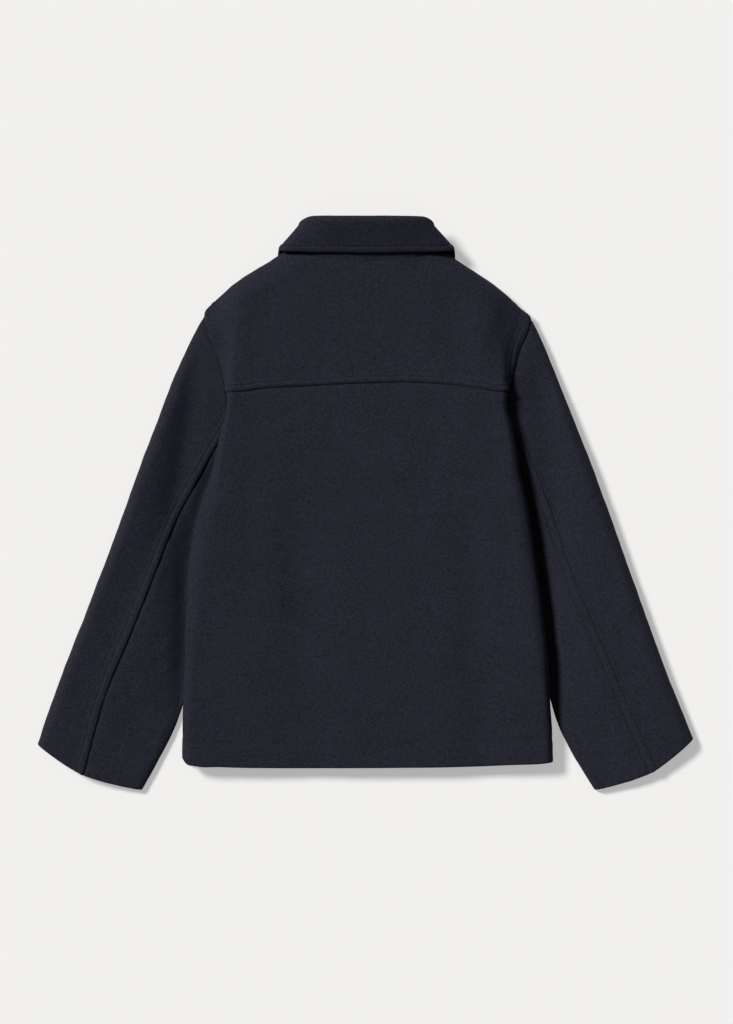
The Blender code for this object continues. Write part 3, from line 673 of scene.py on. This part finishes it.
def yoke_surface(q, v):
    """The yoke: from neck and shoulder (v 0) to its seam (v 1), rounding over the shoulder."""
    seam_x, _ = back_section(q, np.full_like(q, 220.0))
    seam_down = curve(seam_x, YOKE_SEAM["x"], YOKE_SEAM["down"])
    seam_x, seam_z = back_section(q, seam_down)
    x = np.zeros_like(q)
    down = np.zeros_like(q)
    z = np.zeros_like(q)
    for side in (-1, 1):
        part = np.abs(q)
        neck_x = NECK_SEAM["x"][-1] * part / NECK_AT
        fold_x, fold_down, _ = shoulder_point(side, part)
        top_x = np.where(part < NECK_AT, neck_x, fold_x)
        top_down = np.where(part < NECK_AT, neck_down(neck_x), fold_down)
        at_x = top_x + (np.abs(seam_x) - top_x) * v
        at_down = top_down + (seam_down - top_down) * v
        edge_down = top_down[..., -1:] if side > 0 else top_down[..., :1]
        edge_down = edge_down + (seam_down[..., -1:] - edge_down) * v
        arm_x = on_side(side, ARMHOLE, "x", edge_down)
        straight_x = SHOULDER[side]["x"][-1] + (arm_end(side) - SHOULDER[side]["x"][-1]) * v
        at_x = at_x + (arm_x - straight_x) * ease((part - 0.5) / 0.5)
        arm_z = on_side(side, ARMHOLE, "back_z", edge_down)
        ridge_z = plateau(side * np.minimum(at_x, SEAM_END_X), at_down)
        end_z = on_side(side, BODY, "end_z", seam_down)
        low = (seam_z - end_z) / (ridge_z - end_z)
        high = (1 - (part - RIDGE_AT) / (1 - RIDGE_AT)) ** 1.7
        mix = np.where(part > RIDGE_AT, high + (low - high) * v**1.5, 1)
        at_z = np.where(part > RIDGE_AT, arm_z + (ridge_z - arm_z) * mix, ridge_z)
        away, fold_z = shoulder_distance(side, at_x, at_down)
        at_z = fold_z + (at_z - fold_z) * quarter(away / SHOULDER_ROUND)
        here = (q * side > 0) | (q == 0)
        x = np.where(here, side * at_x, x)
        down = np.where(here, at_down, down)
        z = np.where(here, at_z, z)
    return np.stack([x, down, z], axis=-1)


def arm_end(side):
    """Where the yoke seam meets the armhole."""
    return on_side(side, ARMHOLE, "x", np.array(225.0))


def trim(points, first_row=0.0, last_row=0.0, first_column=0.0, last_column=0.0):
    """Draws the named edges in along the cloth, to leave the gaps at the seams."""
    points = points.copy()
    rows = points.swapaxes(0, 1)
    for array, place, inner, gap in (
        (points, 0, 1, first_row),
        (points, -1, -2, last_row),
        (rows, 0, 1, first_column),
        (rows, -1, -2, last_column),
    ):
        way = array[inner] - array[place]
        array[place] += gap * way / np.linalg.norm(way, axis=-1, keepdims=True)
    return points


YOKE_STITCH_IN = 7.0
ARM_STITCH_IN = 10.0
YOKE_LIFT = 1.3
ARM_LIFT = 1.6
YOKE_OVERLAP = 1.0
NEAR_FOLD = (0, 0.5, 1.2, 2.2, 3.5, 5.0, 7.0, 9.5, 12.5, 16.0, 20.0)
YOKE_DEPTH = 150.0

# Soft troughs and ridges of the yoke: path, width and depth
YOKE_CREASES = (
    (((-176, 108), (-181, 135), (-183, 165), (-176, 200)), 7, 2.6),
    (((-152, 92), (-160, 128), (-164, 165), (-163, 222)), 9, -1.3),
    (((-126, 96), (-128, 140), (-124, 190)), 15, 1.5),
    (((-70, 110), (-76, 150), (-72, 205)), 16, 0.8),
    (((108, 86), (112, 130), (114, 190)), 12, 1.5),
    (((140, 96), (146, 130), (150, 180), (158, 214)), 9, -1.4),
    (((176, 108), (176, 135), (170, 165), (178, 205)), 8, 3.0),
    (((40, 90), (46, 140), (40, 200)), 18, 0.6),
    (((-96, 62), (-60, 74), (-20, 80)), 10, 0.5),
    (((96, 62), (64, 76), (24, 82)), 10, 0.5),
)

q = 2 * spaced(BACK_WIDTH, CLOTH_STEP, NEAR_SEAM, NEAR_SEAM) - 1
v = spaced(YOKE_DEPTH, 2.6, NEAR_FOLD, NEAR_SEAM)
v, q = np.meshgrid(v, q, indexing="ij")
points = yoke_surface(q, v)
points[..., 2] = softened(softened(points[..., 2], 24, 1), 2, 0)
points = trim(points, 0.5, -YOKE_OVERLAP, 0.5, 0.5)
x, down = points[..., 0], points[..., 1]
from_seam = from_edge(points, 0, last=True)
from_arm = np.minimum(from_edge(points, 1), from_edge(points, 1, last=True))
relief = lapped(from_seam, YOKE_STITCH_IN, YOKE_LIFT)
relief += lapped(from_arm, ARM_STITCH_IN, ARM_LIFT) * (1 - np.exp(-((from_seam / 14) ** 2)))
for path, width, depth in YOKE_CREASES:
    relief += crease(x, down, path, width, depth)
relief += 0.3 * rumple(x, down, 60, 13) + 0.12 * rumple(x, down, 22, 14)
relief += 0.3 * wander(x, 8, 15) * np.exp(-from_seam / 7)
relief += 0.3 * wander(down, 8, 16) * np.exp(-from_arm / 8)
points = moved_out(points, relief, facing(points, UP))
yoke_cloth = cloth("back_yoke_cloth", points, UP, "back_yoke")


# Sleeves
# Each sleeve is a top piece and a narrower under piece. The top piece laps the under one at
# the elbow seam, stitched 9 mm in, and folds over at the outer edge. The under piece folds at
# the inner edge, and the second seam lies on the surface. Cuffs are turned up inside.

# Sleeve stations from armhole to cuff: the outer fold, the elbow seam and the inner fold in
# plan, and the top's height just inside the outer fold, at the elbow seam and inside.
SLEEVE = {
    -1: table(
        "outer_x outer elbow_x elbow inner_x inner outer_z elbow_z inner_z",
        (210, 127, 179, 257, 167, 329, 20, 10, 6.5),
        (238, 183, 190, 284, 173, 350, 26, 12.5, 7),
        (265, 248, 215, 330, 181.5, 384, 28, 15.5, 8),
        (298.5, 339, 250, 396, 194.5, 440, 28, 18, 9.5),
        (331.5, 430, 280, 472, 210, 512, 27, 19, 9.5),
        (366.5, 520, 312, 552, 227, 590, 26, 19.5, 10),
        (397, 600, 344, 628, 252.5, 668, 24.5, 19.5, 11),
        (428, 687, 370, 717, 293.5, 746, 22, 18.5, 13),
    ),
    1: table(
        "outer_x outer elbow_x elbow inner_x inner outer_z elbow_z inner_z",
        (213, 131, 180, 250, 166, 329, 20, 10, 6.5),
        (236.5, 183, 194, 284, 172.5, 350, 26, 12.5, 7),
        (262.5, 248, 214.5, 330, 181, 384, 28, 15.5, 8),
        (298, 339, 238, 396, 195, 440, 28, 18, 9.5),
        (331, 430, 263, 472, 212.5, 512, 27, 19, 9.5),
        (363, 520, 297, 552, 231, 590, 26, 19.5, 10),
        (392.5, 600, 331, 628, 254, 668, 24.5, 19.5, 11),
        (425, 680, 372, 714, 298.5, 746, 22, 18.5, 13),
    ),
}
CUFF_BOW = 9.0
TUCKED_Z = 5.8
OUTER_FOLD_Z = 11.0
INNER_FOLD_Z = 5.2
FRONT_SEAM_AT = 0.7

# The long fold down each sleeve, from the sleeve head to where the body covers it
SLEEVE_VALLEY = table(
    "down left right",
    (150, 226, 230),
    (240, 229, 232),
    (340, 242, 240),
    (480, 243, 246),
    (620, 236, 240),
)
SLEEVE_VALLEY_DEPTH = 6.0
SLEEVE_VALLEY_WIDTH = 15.0


# How far the folded edges of a laid sleeve round over, in plan
OUTER_ROUND = 13.0
INNER_ROUND = 8.0
LAID_Z = WALL / 2

# A sleeve piece's fractions, from the elbow seam: where it leaves the flat, the fold line,
# and where it lies flat again underneath
TOP_FOLDS = (0.36, 0.5, 0.62)
UNDER_FOLDS = (0.56, 0.7, 0.82)
FOLDED_TOP_WIDTH = 68.0
FOLDED_UNDER_WIDTH = 70.0

def sleeve_surface(side, fold, across, under, t):
    """A sleeve. across runs 0 at the outer fold to 1 at the elbow seam to 2 at the inner
    fold; fold is 0 on a fold line and 1 on the flat; under is 1 on the laid side."""
    rows = SLEEVE[side]
    stations = np.linspace(0, 1, len(rows["outer"]))
    at = {name: curve(t, stations, values) for name, values in rows.items()}
    outer_part = np.clip(across, 0, 1)
    inner_part = np.clip(across - 1, 0, 1)
    x = at["outer_x"] + (at["elbow_x"] - at["outer_x"]) * outer_part
    x = x + (at["inner_x"] - at["elbow_x"]) * inner_part
    down = at["outer"] + (at["elbow"] - at["outer"]) * outer_part
    down = down + (at["inner"] - at["elbow"]) * inner_part
    first_down = rows["outer"][0] + (rows["elbow"][0] - rows["outer"][0]) * outer_part
    first_down = first_down + (rows["inner"][0] - rows["elbow"][0]) * inner_part
    first_x = rows["outer_x"][0] + (rows["elbow_x"][0] - rows["outer_x"][0]) * outer_part
    first_x = first_x + (rows["inner_x"][0] - rows["elbow_x"][0]) * inner_part
    arm_x = on_side(side, ARMHOLE, "x", first_down)
    x = x + (arm_x - first_x) * (1 - ease(t / 0.3))
    bow = CUFF_BOW * np.sin(np.pi * across / 2)
    down = down + bow * ease((t - 0.75) / 0.25)
    top = at["outer_z"] + (at["elbow_z"] - at["outer_z"]) * ease(outer_part)
    top = top + (at["inner_z"] - at["elbow_z"]) * ease(inner_part)
    valley_x = curve(down, SLEEVE_VALLEY["down"], SLEEVE_VALLEY["left" if side < 0 else "right"])
    near = np.exp(-(((x - valley_x) / SLEEVE_VALLEY_WIDTH) ** 2) / 2)
    fade = ease((down - 150) / 60) * (1 - ease((down - 430) / 120))
    top = top - SLEEVE_VALLEY_DEPTH * near * fade
    fold_z = np.where(across < 1, OUTER_FOLD_Z, INNER_FOLD_Z)
    z = np.where(under > 0, fold_z - fold * (fold_z - LAID_Z), fold_z + fold * (top - fold_z))
    shoulder_away, shoulder_z = shoulder_distance(side, arm_x, first_down)
    back_z = on_side(side, ARMHOLE, "back_z", first_down)
    back_z = shoulder_z + (back_z - shoulder_z) * quarter(shoulder_away / SHOULDER_ROUND)
    back_z = back_z - on_side(side, ARMHOLE, "drop", first_down)
    front_z = on_side(side, ARMHOLE, "sleeve_z", first_down)
    tucked = np.where(across > 1, fold, 1)
    first_z = np.where(under > 0, front_z, back_z)
    first_z = TUCKED_Z + (first_z - TUCKED_Z) * tucked
    start = ease(t / 0.16)
    z = first_z + (z - first_z) * start
    return np.stack([side * x, down, z], axis=-1)


def folded_across(u, folds, turn, fold_line, way):
    """(across, fold) of a sleeve piece: flat to its first fold fraction, rounding over at its
    fold line, then flat underneath to the front seam. way is which side the flat lies on."""
    leaves, line, lands = folds
    rounding = np.where(u < line, (line - u) / (line - leaves), (u - line) / (lands - line))
    rounding = np.clip(rounding, 0, 1)
    over = turn * (1 - np.cos(np.pi / 2 * rounding))
    on_top = turn + (1 - turn) * np.clip(1 - u / leaves, 0, 1)
    seam = abs(fold_line - 2 * FRONT_SEAM_AT)
    below = turn + (seam - turn) * np.clip((u - lands) / (1 - lands), 0, 1)
    over = np.where(u < leaves, on_top, np.where(u > lands, below, over))
    return fold_line + way * over, np.sin(np.pi / 2 * rounding)


def top_sleeve(side, u, t):
    """From the elbow seam (u 0) over the outer fold to the front seam underneath (u 1)."""
    across, fold = folded_across(u, TOP_FOLDS, OUTER_ROUND / FOLDED_TOP_WIDTH, 0, 1)
    return sleeve_surface(side, fold, across, (u > TOP_FOLDS[1]) * 1.0, t)


def under_sleeve(side, u, t):
    """From the elbow seam (u 0) over the inner fold to the front seam underneath (u 1)."""
    across, fold = folded_across(u, UNDER_FOLDS, INNER_ROUND / FOLDED_UNDER_WIDTH, 2, -1)
    return sleeve_surface(side, fold, across, (u > UNDER_FOLDS[1]) * 1.0, t)


ELBOW_STITCH_IN = 9.0
ELBOW_LIFT = 1.2
SLEEVE_LENGTH = 600.0
TOP_WIDTH = 250.0
UNDER_WIDTH = 150.0
CUFF_TURNED_UP = 24.0
SLEEVE_STEP = 3.2

# Soft troughs and ridges of each sleeve's upper face, with x away from the centre back
SLEEVE_CREASES = {
    -1: (
        (((205, 150), (207, 190), (200, 236)), 8, -1.8),
        (((222, 190), (232, 250), (238, 330), (246, 420)), 11, 1.6),
        (((262, 270), (284, 360), (300, 440)), 13, -1.0),
        (((244, 420), (262, 520), (268, 610)), 12, 1.4),
        (((300, 420), (330, 500), (352, 590)), 14, 0.9),
        (((230, 360), (214, 380), (200, 402)), 7, 0.9),
        (((240, 396), (222, 420), (208, 448)), 7, 0.8),
        (((330, 560), (362, 640), (378, 700)), 14, -0.8),
        (((286, 620), (320, 664), (342, 724)), 12, 0.8),
        (((196, 420), (214, 500), (232, 580), (262, 660)), 10, 1.4),
    ),
    1: (
        (((208, 150), (207, 190), (198, 236)), 8, -1.8),
        (((224, 190), (234, 250), (240, 330), (248, 420)), 11, 1.6),
        (((264, 280), (284, 360), (302, 450)), 13, -1.0),
        (((246, 430), (262, 520), (272, 620)), 12, 1.6),
        (((306, 430), (332, 520), (356, 600)), 14, 0.9),
        (((232, 350), (214, 372), (198, 396)), 7, 0.9),
        (((248, 404), (226, 424), (210, 446)), 7, 0.8),
        (((336, 570), (364, 650), (380, 704)), 14, -0.8),
        (((290, 640), (322, 676), (346, 730)), 12, 0.8),
        (((198, 420), (216, 500), (236, 580), (266, 660)), 10, 1.4),
    ),
}


# The deep crease where each sleeve dives under the body's side
BODY_CREASE_DEPTH = 9.0
BODY_CREASE_WIDTH = 11.0


def body_crease(side, x, down):
    """The trough beside the body: a bell curve of the distance outside its side."""
    edge = on_side(side, BODY, "side", down)
    away = np.clip(x - edge - 2, 0, None)
    fade = ease((down - 290) / 60) * (1 - ease((down - 560) / 130))
    return -BODY_CREASE_DEPTH * fade * np.exp(-((away / BODY_CREASE_WIDTH) ** 2) / 2)


def sleeve_relief(side, points, seed):
    """Rise of a sleeve's cloth: its creases on the upper face, and a soft unevenness."""
    x, down = side * points[..., 0], points[..., 1]
    up = ease((points[..., 2] - 8) / 8)
    relief = 0.3 * rumple(x, down, 60, seed) + 0.14 * rumple(x, down, 22, seed + 1)
    for path, width, depth in SLEEVE_CREASES[side]:
        relief += up * crease(x, down, path, width, depth)
    relief += ease((points[..., 2] - 6) / 3) * body_crease(side, x, down)
    return relief * ease((points[..., 2] - 1) / 4)


for side, word in ((-1, "left"), (1, "right")):
    t = spaced(SLEEVE_LENGTH, SLEEVE_STEP, NEAR_EDGE, NEAR_EDGE)
    t = t * (1 - (HEM_ROLL + WALL / 2) / SLEEVE_LENGTH)
    u = spaced(TOP_WIDTH, SLEEVE_STEP, NEAR_SEAM, NEAR_EDGE)
    t, u = np.meshgrid(t, u, indexing="ij")
    points = trim(top_sleeve(side, u, t), 0, 0, -0.8, 0.3)
    from_elbow = from_edge(points, 1)
    from_arm = from_edge(points, 0)
    relief = sleeve_relief(side, points, 30 + side)
    relief += lapped(from_elbow, ELBOW_STITCH_IN, ELBOW_LIFT)
    relief += 0.3 * wander(from_arm[:, 0], 9, 33 + side)[:, None] * np.exp(-from_elbow / 8)
    relief += tucked(from_arm) * ease((points[..., 2] - 8) / 6)
    points = moved_out(points, relief, facing(points, UP))
    points = turned_up(points, UP, allowance=CUFF_TURNED_UP)
    top_cloth = cloth(f"sleeve_top_{word}_cloth", points, UP, f"sleeve_top_{word}")

    t = spaced(SLEEVE_LENGTH, SLEEVE_STEP, NEAR_EDGE, NEAR_EDGE)
    t = t * (1 - (HEM_ROLL + WALL / 2) / SLEEVE_LENGTH)
    u = spaced(UNDER_WIDTH, SLEEVE_STEP, NEAR_EDGE, NEAR_EDGE)
    t, u = np.meshgrid(t, u, indexing="ij")
    points = trim(under_sleeve(side, u, t), 1.5, 0, 0, 0.3)
    relief = sleeve_relief(side, points, 40 + side) + tucked(from_edge(points, 1))
    points = moved_out(points, relief, facing(points, UP))
    points = reach_under(points, 1, last=False)
    points = turned_up(points, UP, allowance=CUFF_TURNED_UP)
    under_cloth = cloth(f"sleeve_under_{word}_cloth", points, UP, f"sleeve_under_{word}")


# Fronts
# Two fronts lie face down on the surface, under the back. The wearer's right one is outside,
# so it is the lower of the two where they lap. A stitch groove runs 6 mm in from each lapped edge.

LAP = 18.0

# A front's fractions: across, where its neck seam starts, and down its outer edge, where the
# shoulder ends and the side seam starts
FRONT_NECK_AT = 0.12
SHOULDER_ENDS_AT = 0.22
SIDE_SEAM_AT = 0.48

# How wide and high the front rises over the collar's leaf and the buttons
LEAF_LIFT = 7.1
LEAF_ROUND = 40.0
LEAF_HALF_WIDTH = 50.0
NECK_SLOPE = 55.0
SIDE_SLOPE = 36.0
LAP_SLOPE = 30.0
FRONT_ROUND = 40.0
FLAT_LAP = LAP + 5
LAP_LIFT = WALL + 0.3 + 0.9
BUTTON_THICK = 4.0
BUTTON_LIFT = BUTTON_THICK + 0.6
# Half of the collar, from the centre front round to the centre back: the neck seam, the top
# of the fold, the leaf's edge, and half the space between stand and leaf at the fold.
COLLAR = table(
    "seam_x seam fold_x fold fold_z edge_x edge edge_z half",
    (2, 137, 2, 106, 5.1, 8, 176, 2.3, 2.9),
    (34, 121, 30, 90, 5.1, 52, 170, 2.3, 2.9),
    (60, 94, 56, 66, 6.5, 90, 130, 2.3, 2.9),
    (77, 60, 75, 34, 14, 111, 78, 4.5, 3.1),
    (82, 38, 84, 13, 28, 113, 43.5, 24, 3.6),
    (73, 46, 77, 3.5, 46, 105, 44, 40, 4.4),
    (45, 52.3, 52, 2.2, 56, 60, 45, 45, 5),
    (0, 56.3, 0, 2.2, 58, 0, 46, 47, 5),
)


def front_neck(f):
    """(x, down, z) on the front neck seam, from the centre front (0) to the shoulder (1)."""
    stops = np.linspace(0, 1, 5)
    z = np.array([8.2, 8.2, 9.2, 13.5, 24])
    return tuple(curve(f, stops, values) for values in (COLLAR["seam_x"][:5], COLLAR["seam"][:5], z))


def front_edge(side, v):
    """(x, down, z) down a front's outer edge: shoulder, armhole, then side seam."""
    shoulder = shoulder_point(side, NECK_AT + (1 - NECK_AT) * np.clip(v / SHOULDER_ENDS_AT, 0, 1))
    rows = ARMHOLE[side]
    arm_f = np.clip((v - SHOULDER_ENDS_AT) / (SIDE_SEAM_AT - SHOULDER_ENDS_AT), 0, 1)
    arm_down = rows["down"][0] + (rows["down"][-1] - rows["down"][0]) * arm_f
    arm = (
        on_side(side, ARMHOLE, "x", arm_down),
        arm_down,
        on_side(side, ARMHOLE, "front_z", arm_down),
    )
    hem_down = curve(np.array(side * HEM_END_X), HEM["x"], HEM["down"])
    side_f = np.clip((v - SIDE_SEAM_AT) / (1 - SIDE_SEAM_AT), 0, 1)
    side_down = rows["down"][-1] + (hem_down - rows["down"][-1]) * side_f
    seam = (
        on_side(side, BODY, "end", side_down),
        side_down,
        on_side(side, BODY, "end_z", side_down),
    )
    return [
        np.where(v < SHOULDER_ENDS_AT, a, np.where(v < SIDE_SEAM_AT, b, c))
        for a, b, c in zip(shoulder, arm, seam)
    ]


def front_height(side, x, down, edge_z, to_edge):
    """Height of a laid front: flat, and lifted over the collar leaf and the buttons."""
    away, fold_z = shoulder_distance(side, x, down)
    folded = (fold_z - LAID_Z) * (1 - quarter(away / FRONT_ROUND))
    f = np.linspace(0, 1, 60)
    neck_x, neck_at, neck_z = front_neck(f)
    gap = np.hypot(np.abs(x)[..., None] - neck_x, down[..., None] - neck_at)
    nearest = np.argmin(gap, axis=-1)
    gap = np.min(gap, axis=-1)
    over_leaf = LEAF_LIFT * (1 - ease((gap - LEAF_HALF_WIDTH) / LEAF_ROUND))
    at_neck = (neck_z[nearest] - LAID_Z - LEAF_LIFT) * (1 - ease(gap / NECK_SLOPE))
    over_buttons = BUTTON_LIFT * (1 - ease((np.abs(x) - FLAT_LAP) / LAP_SLOPE))
    to_side = (edge_z - LAID_Z) * (1 - ease(to_edge / SIDE_SLOPE))
    return LAID_Z + np.max(np.stack([folded, over_leaf + at_neck, over_buttons, to_side]), axis=0)


def front_surface(side, u, v):
    """A front, from its lapped edge (u 0) to its outer edge (u 1), neck (v 0) to hem (v 1)."""
    lap_x = -LAP
    neck_x, neck_at, _ = front_neck(np.clip((u - FRONT_NECK_AT) / (1 - FRONT_NECK_AT), 0, 1))
    start = COLLAR["seam_x"][0]
    before = u < FRONT_NECK_AT
    neck_x = np.where(before, lap_x + (start - lap_x) * u / FRONT_NECK_AT, neck_x)
    neck_at = np.where(before, COLLAR["seam"][0] + 1.0, neck_at)
    edge_x, edge_down, edge_z = front_edge(side, v)
    centre_down = neck_at[:, :1] + (HEM["down"][3] - neck_at[:, :1]) * v
    hem_end = curve(np.array(side * HEM_END_X), HEM["x"], HEM["down"])
    hem_x = lap_x + (edge_x[-1:, :] - lap_x) * u
    hem_down = curve(side * hem_x, HEM["x"], HEM["down"])
    hem_down = np.where(u > 0.9, hem_down + (hem_end - hem_down) * (u - 0.9) / 0.1, hem_down)
    across_x = lap_x + (edge_x - lap_x) * u
    across_down = centre_down + (edge_down - centre_down) * u
    along_x = neck_x + (hem_x - neck_x) * v
    along_down = neck_at + (hem_down - neck_at) * v
    top_x = lap_x + (neck_x[:, -1:] - lap_x) * u
    low_x = lap_x + (hem_x[:, -1:] - lap_x) * u
    corner_x = (1 - v) * top_x + v * low_x
    top_corner = neck_at[:, :1] + (neck_at[:, -1:] - neck_at[:, :1]) * u
    low_corner = hem_down[:, :1] + (hem_down[:, -1:] - hem_down[:, :1]) * u
    x = across_x + along_x - corner_x
    down = across_down + along_down - ((1 - v) * top_corner + v * low_corner)
    to_edge = np.hypot(edge_x - x, (edge_down - down) * 0.3)
    z = front_height(side, x, down, edge_z, to_edge)
    z = np.where(u > 0.999, edge_z, z)
    if side < 0:
        z = z + LAP_LIFT * (1 - ease((x - FLAT_LAP) / LAP_SLOPE))
    return np.stack([side * x, down, z], axis=-1)


FRONT_LENGTH = 560.0
FRONT_WIDTH = 215.0
FRONT_EDGE_STITCH = 6.0

for side, word in ((-1, "left"), (1, "right")):
    u = spaced(FRONT_WIDTH, 4.0, NEAR_SEAM[:12], NEAR_EDGE)
    v = spaced(FRONT_LENGTH, 4.0, NEAR_EDGE, NEAR_EDGE) * (1 - (HEM_ROLL + WALL / 2) / FRONT_LENGTH)
    v, u = np.meshgrid(v, u, indexing="ij")
    points = trim(front_surface(side, u, v), 0.6, 0, 0, 0.5)
    clear = ease((points[..., 2] - LAID_Z) / 2)
    relief = 0.25 * rumple(points[..., 0], points[..., 1], 60, 50 + side) * clear
    groove = np.exp(-(((from_edge(points, 1) - FRONT_EDGE_STITCH) / 1.2) ** 2))
    relief -= 0.4 * groove
    points = moved_out(points, relief, facing(points, DOWN))
    front_cloth = cloth(f"front_{word}_cloth", points, DOWN, f"front_{word}")


# Collar
# Two plies of melton sewn together and turned, so that its edge is thick and round. A stand
# rises from the neck seam, folds over, and its leaf lies back over it, stitched 6.5 mm in
# from the edge all round.

COLLAR_WALL = 3.6

# The collar's fractions, up the stand and down the leaf: where the fold starts and ends
FOLD_FROM = 0.4
FOLD_TO = 0.6
COLLAR_STITCH_IN = 6.5
COLLAR_ROUND = 760.0
COLLAR_WIDE = 100.0
NECK_REACH = 2.5
def panel_height(x, down):
    """The height at the neck seam of the piece that the collar is sewn to."""
    away, fold_z = shoulder_distance(-1, x, down)
    return fold_z + (plateau(x, down) - fold_z) * quarter(away / SHOULDER_ROUND)


def unit(vectors):
    return vectors / np.linalg.norm(vectors, axis=-1, keepdims=True)


def square_to(vectors, way):
    """The part of each vector that is at right angles to a unit vector."""
    return vectors - way * np.sum(vectors * way, axis=-1, keepdims=True)


def collar_surface(t, h):
    """t runs round the neck from centre front to centre front. h runs up the stand,
    round the fold (FOLD_FROM to FOLD_TO) and down the leaf to its edge (1)."""
    half_t = np.where(t <= 0.5, t, 1 - t) * 2
    stops = np.linspace(0, 1, len(COLLAR["seam"]))
    at = {name: curve(half_t, stops, values) for name, values in COLLAR.items()}
    front_f = np.clip(half_t * 7 / 4, 0, 1)
    seam_z = np.where(half_t < 4 / 7, front_neck(front_f)[2], panel_height(at["seam_x"], at["seam"]))
    way = np.where(t <= 0.5, -1, 1)
    seam = np.stack([way * at["seam_x"], at["seam"], seam_z], axis=-1)
    apex = np.stack([way * at["fold_x"], at["fold"], at["fold_z"]], axis=-1)
    edge = np.stack([way * at["edge_x"], at["edge"], at["edge_z"]], axis=-1)
    around = unit(np.gradient(apex, axis=1))
    up = unit(square_to(apex - seam, around))
    out = unit(square_to(square_to(edge - seam, around), up))
    half = at["half"][..., None]
    centre = apex - up * half
    angle = np.pi * np.clip((h - FOLD_FROM) / (FOLD_TO - FOLD_FROM), 0, 1)[..., None]
    turned = centre - out * half * np.cos(angle) + up * half * np.sin(angle)
    stand = seam + (centre - out * half - seam) * np.clip(h / FOLD_FROM, 0, 1)[..., None]
    leaf_f = np.clip((h - FOLD_TO) / (1 - FOLD_TO), 0, 1)[..., None]
    leaf_top = centre + out * half
    leaf = leaf_top + (edge - leaf_top) * leaf_f
    h3 = h[..., None]
    return np.where(h3 < FOLD_FROM, stand, np.where(h3 <= FOLD_TO, turned, leaf))


h = spaced(COLLAR_WIDE, 1.6, NEAR_EDGE, NEAR_SEAM)
t = spaced(COLLAR_ROUND, 3.0, NEAR_SEAM, NEAR_SEAM)
h, t = np.meshgrid(h, t, indexing="ij")
points = trim(collar_surface(t, h), -NECK_REACH)
on_leaf = ease((h - 0.58) / 0.08)
from_end = np.minimum(from_edge(points, 1), from_edge(points, 1, last=True))
from_leaf_edge = np.minimum(from_edge(points, 0, last=True), from_end)
along = from_edge(points, 1)[-1]
relief = 0.5 * np.sin(np.pi * np.clip(from_leaf_edge / COLLAR_STITCH_IN, 0, 1))
relief -= 0.8 * np.exp(-(((from_leaf_edge - COLLAR_STITCH_IN) / 1.1) ** 2))
relief = relief * on_leaf + 0.25 * rumple(t * COLLAR_ROUND, h * COLLAR_WIDE, 55, 61)
relief += 0.25 * wander(along, 9, 62) * np.exp(-from_leaf_edge / 8) * on_leaf
points = moved_out(points, relief, facing(points, UP))
collar_cloth = cloth("collar_cloth", points, UP, "collar", COLLAR_WALL)


# Buttons
# Five four-hole buttons close the fronts. They lie face down between the lapped front and the
# surface, and are turned from a dark horn-like plastic with fine pale and dark streaks.

HORN = (0.012, 0.011, 0.013)
HORN_LIGHT = (0.045, 0.036, 0.032)
HORN_STREAK = 0.004
BUTTON_COUNT = 5

horn = Finish("dark_horn", HORN, 0.35)
place = horn.add("ShaderNodeTexCoord", output=3)
drawn = horn.add("ShaderNodeMapping", None, {"Vector": place, "Scale": (1, 0.2, 1)})
streaks = horn.noise(drawn, HORN_STREAK, 4.0, 0.6)
light = horn.ramp(streaks, ((0.45, 0.0), (0.72, 1.0)))
horn.set_shader("Base Color", horn.mix(light * 0.7, HORN, HORN_LIGHT))
horn.set_shader("Roughness", 0.28 + streaks * 0.2)
scratches = horn.noise(place, 0.0006, 2.0, 0.5)
worn = horn.add("ShaderNodeBump", None, {"Strength": 0.1, "Distance": 0.0002, "Height": scratches})
horn.set_shader("Normal", worn)
for number in range(1, BUTTON_COUNT + 1):
    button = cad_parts[f"button_{number}"]
    button.material_slots[0].material = horn.material


# Floor, light and camera
# A pale floor under one broad light from the upper left and an even sky, with the camera
# straight above, its top towards the collar.

PHOTO_HEIGHT_M = 1.3312
PHOTO_CENTRE = (0.0015, -0.0104)
CAMERA_ABOVE = 7.0
FRAMED_HEIGHT = 0.02
SENSOR = 36.0

floor_mesh = bpy.data.meshes.new("floor")
corner = 6.0
floor_mesh.from_pydata([(-corner, -corner, 0), (corner, -corner, 0), (corner, corner, 0), (-corner, corner, 0)], [], [(0, 1, 2, 3)])
floor = bpy.data.objects.new("floor", floor_mesh)
bpy.context.scene.collection.objects.link(floor)
paper = Finish("pale_floor", (0.42, 0.42, 0.42), 0.9)
paper.set_shader("Specular IOR Level", 0.1)
paper.set_shader("Emission Color", (1.0, 0.99, 0.985, 1))
paper.set_shader("Emission Strength", 0.40)
floor_mesh.materials.append(paper.material)

key = bpy.data.lights.new("key", "SUN")
key.energy = 4.4
key.angle = np.radians(14)
key.color = (1.0, 0.985, 0.96)
key_holder = bpy.data.objects.new("key", key)
key_holder.rotation_euler = (np.radians(-24), np.radians(-38), 0)
bpy.context.scene.collection.objects.link(key_holder)

world = bpy.data.worlds.new("even_sky")
world.use_nodes = True
world.node_tree.nodes["Background"].inputs["Color"].default_value = (0.96, 0.98, 1.0, 1)
world.node_tree.nodes["Background"].inputs["Strength"].default_value = 0.15
bpy.context.scene.world = world
bpy.context.scene.view_settings.view_transform = "Standard"

lens = bpy.data.cameras.new("camera")
lens.sensor_width = SENSOR
lens.lens = SENSOR * (CAMERA_ABOVE - FRAMED_HEIGHT) / PHOTO_HEIGHT_M
lens.clip_end = 30
camera = bpy.data.objects.new("camera", lens)
camera.location = (*PHOTO_CENTRE, CAMERA_ABOVE)
bpy.context.scene.collection.objects.link(camera)
bpy.context.scene.camera = camera
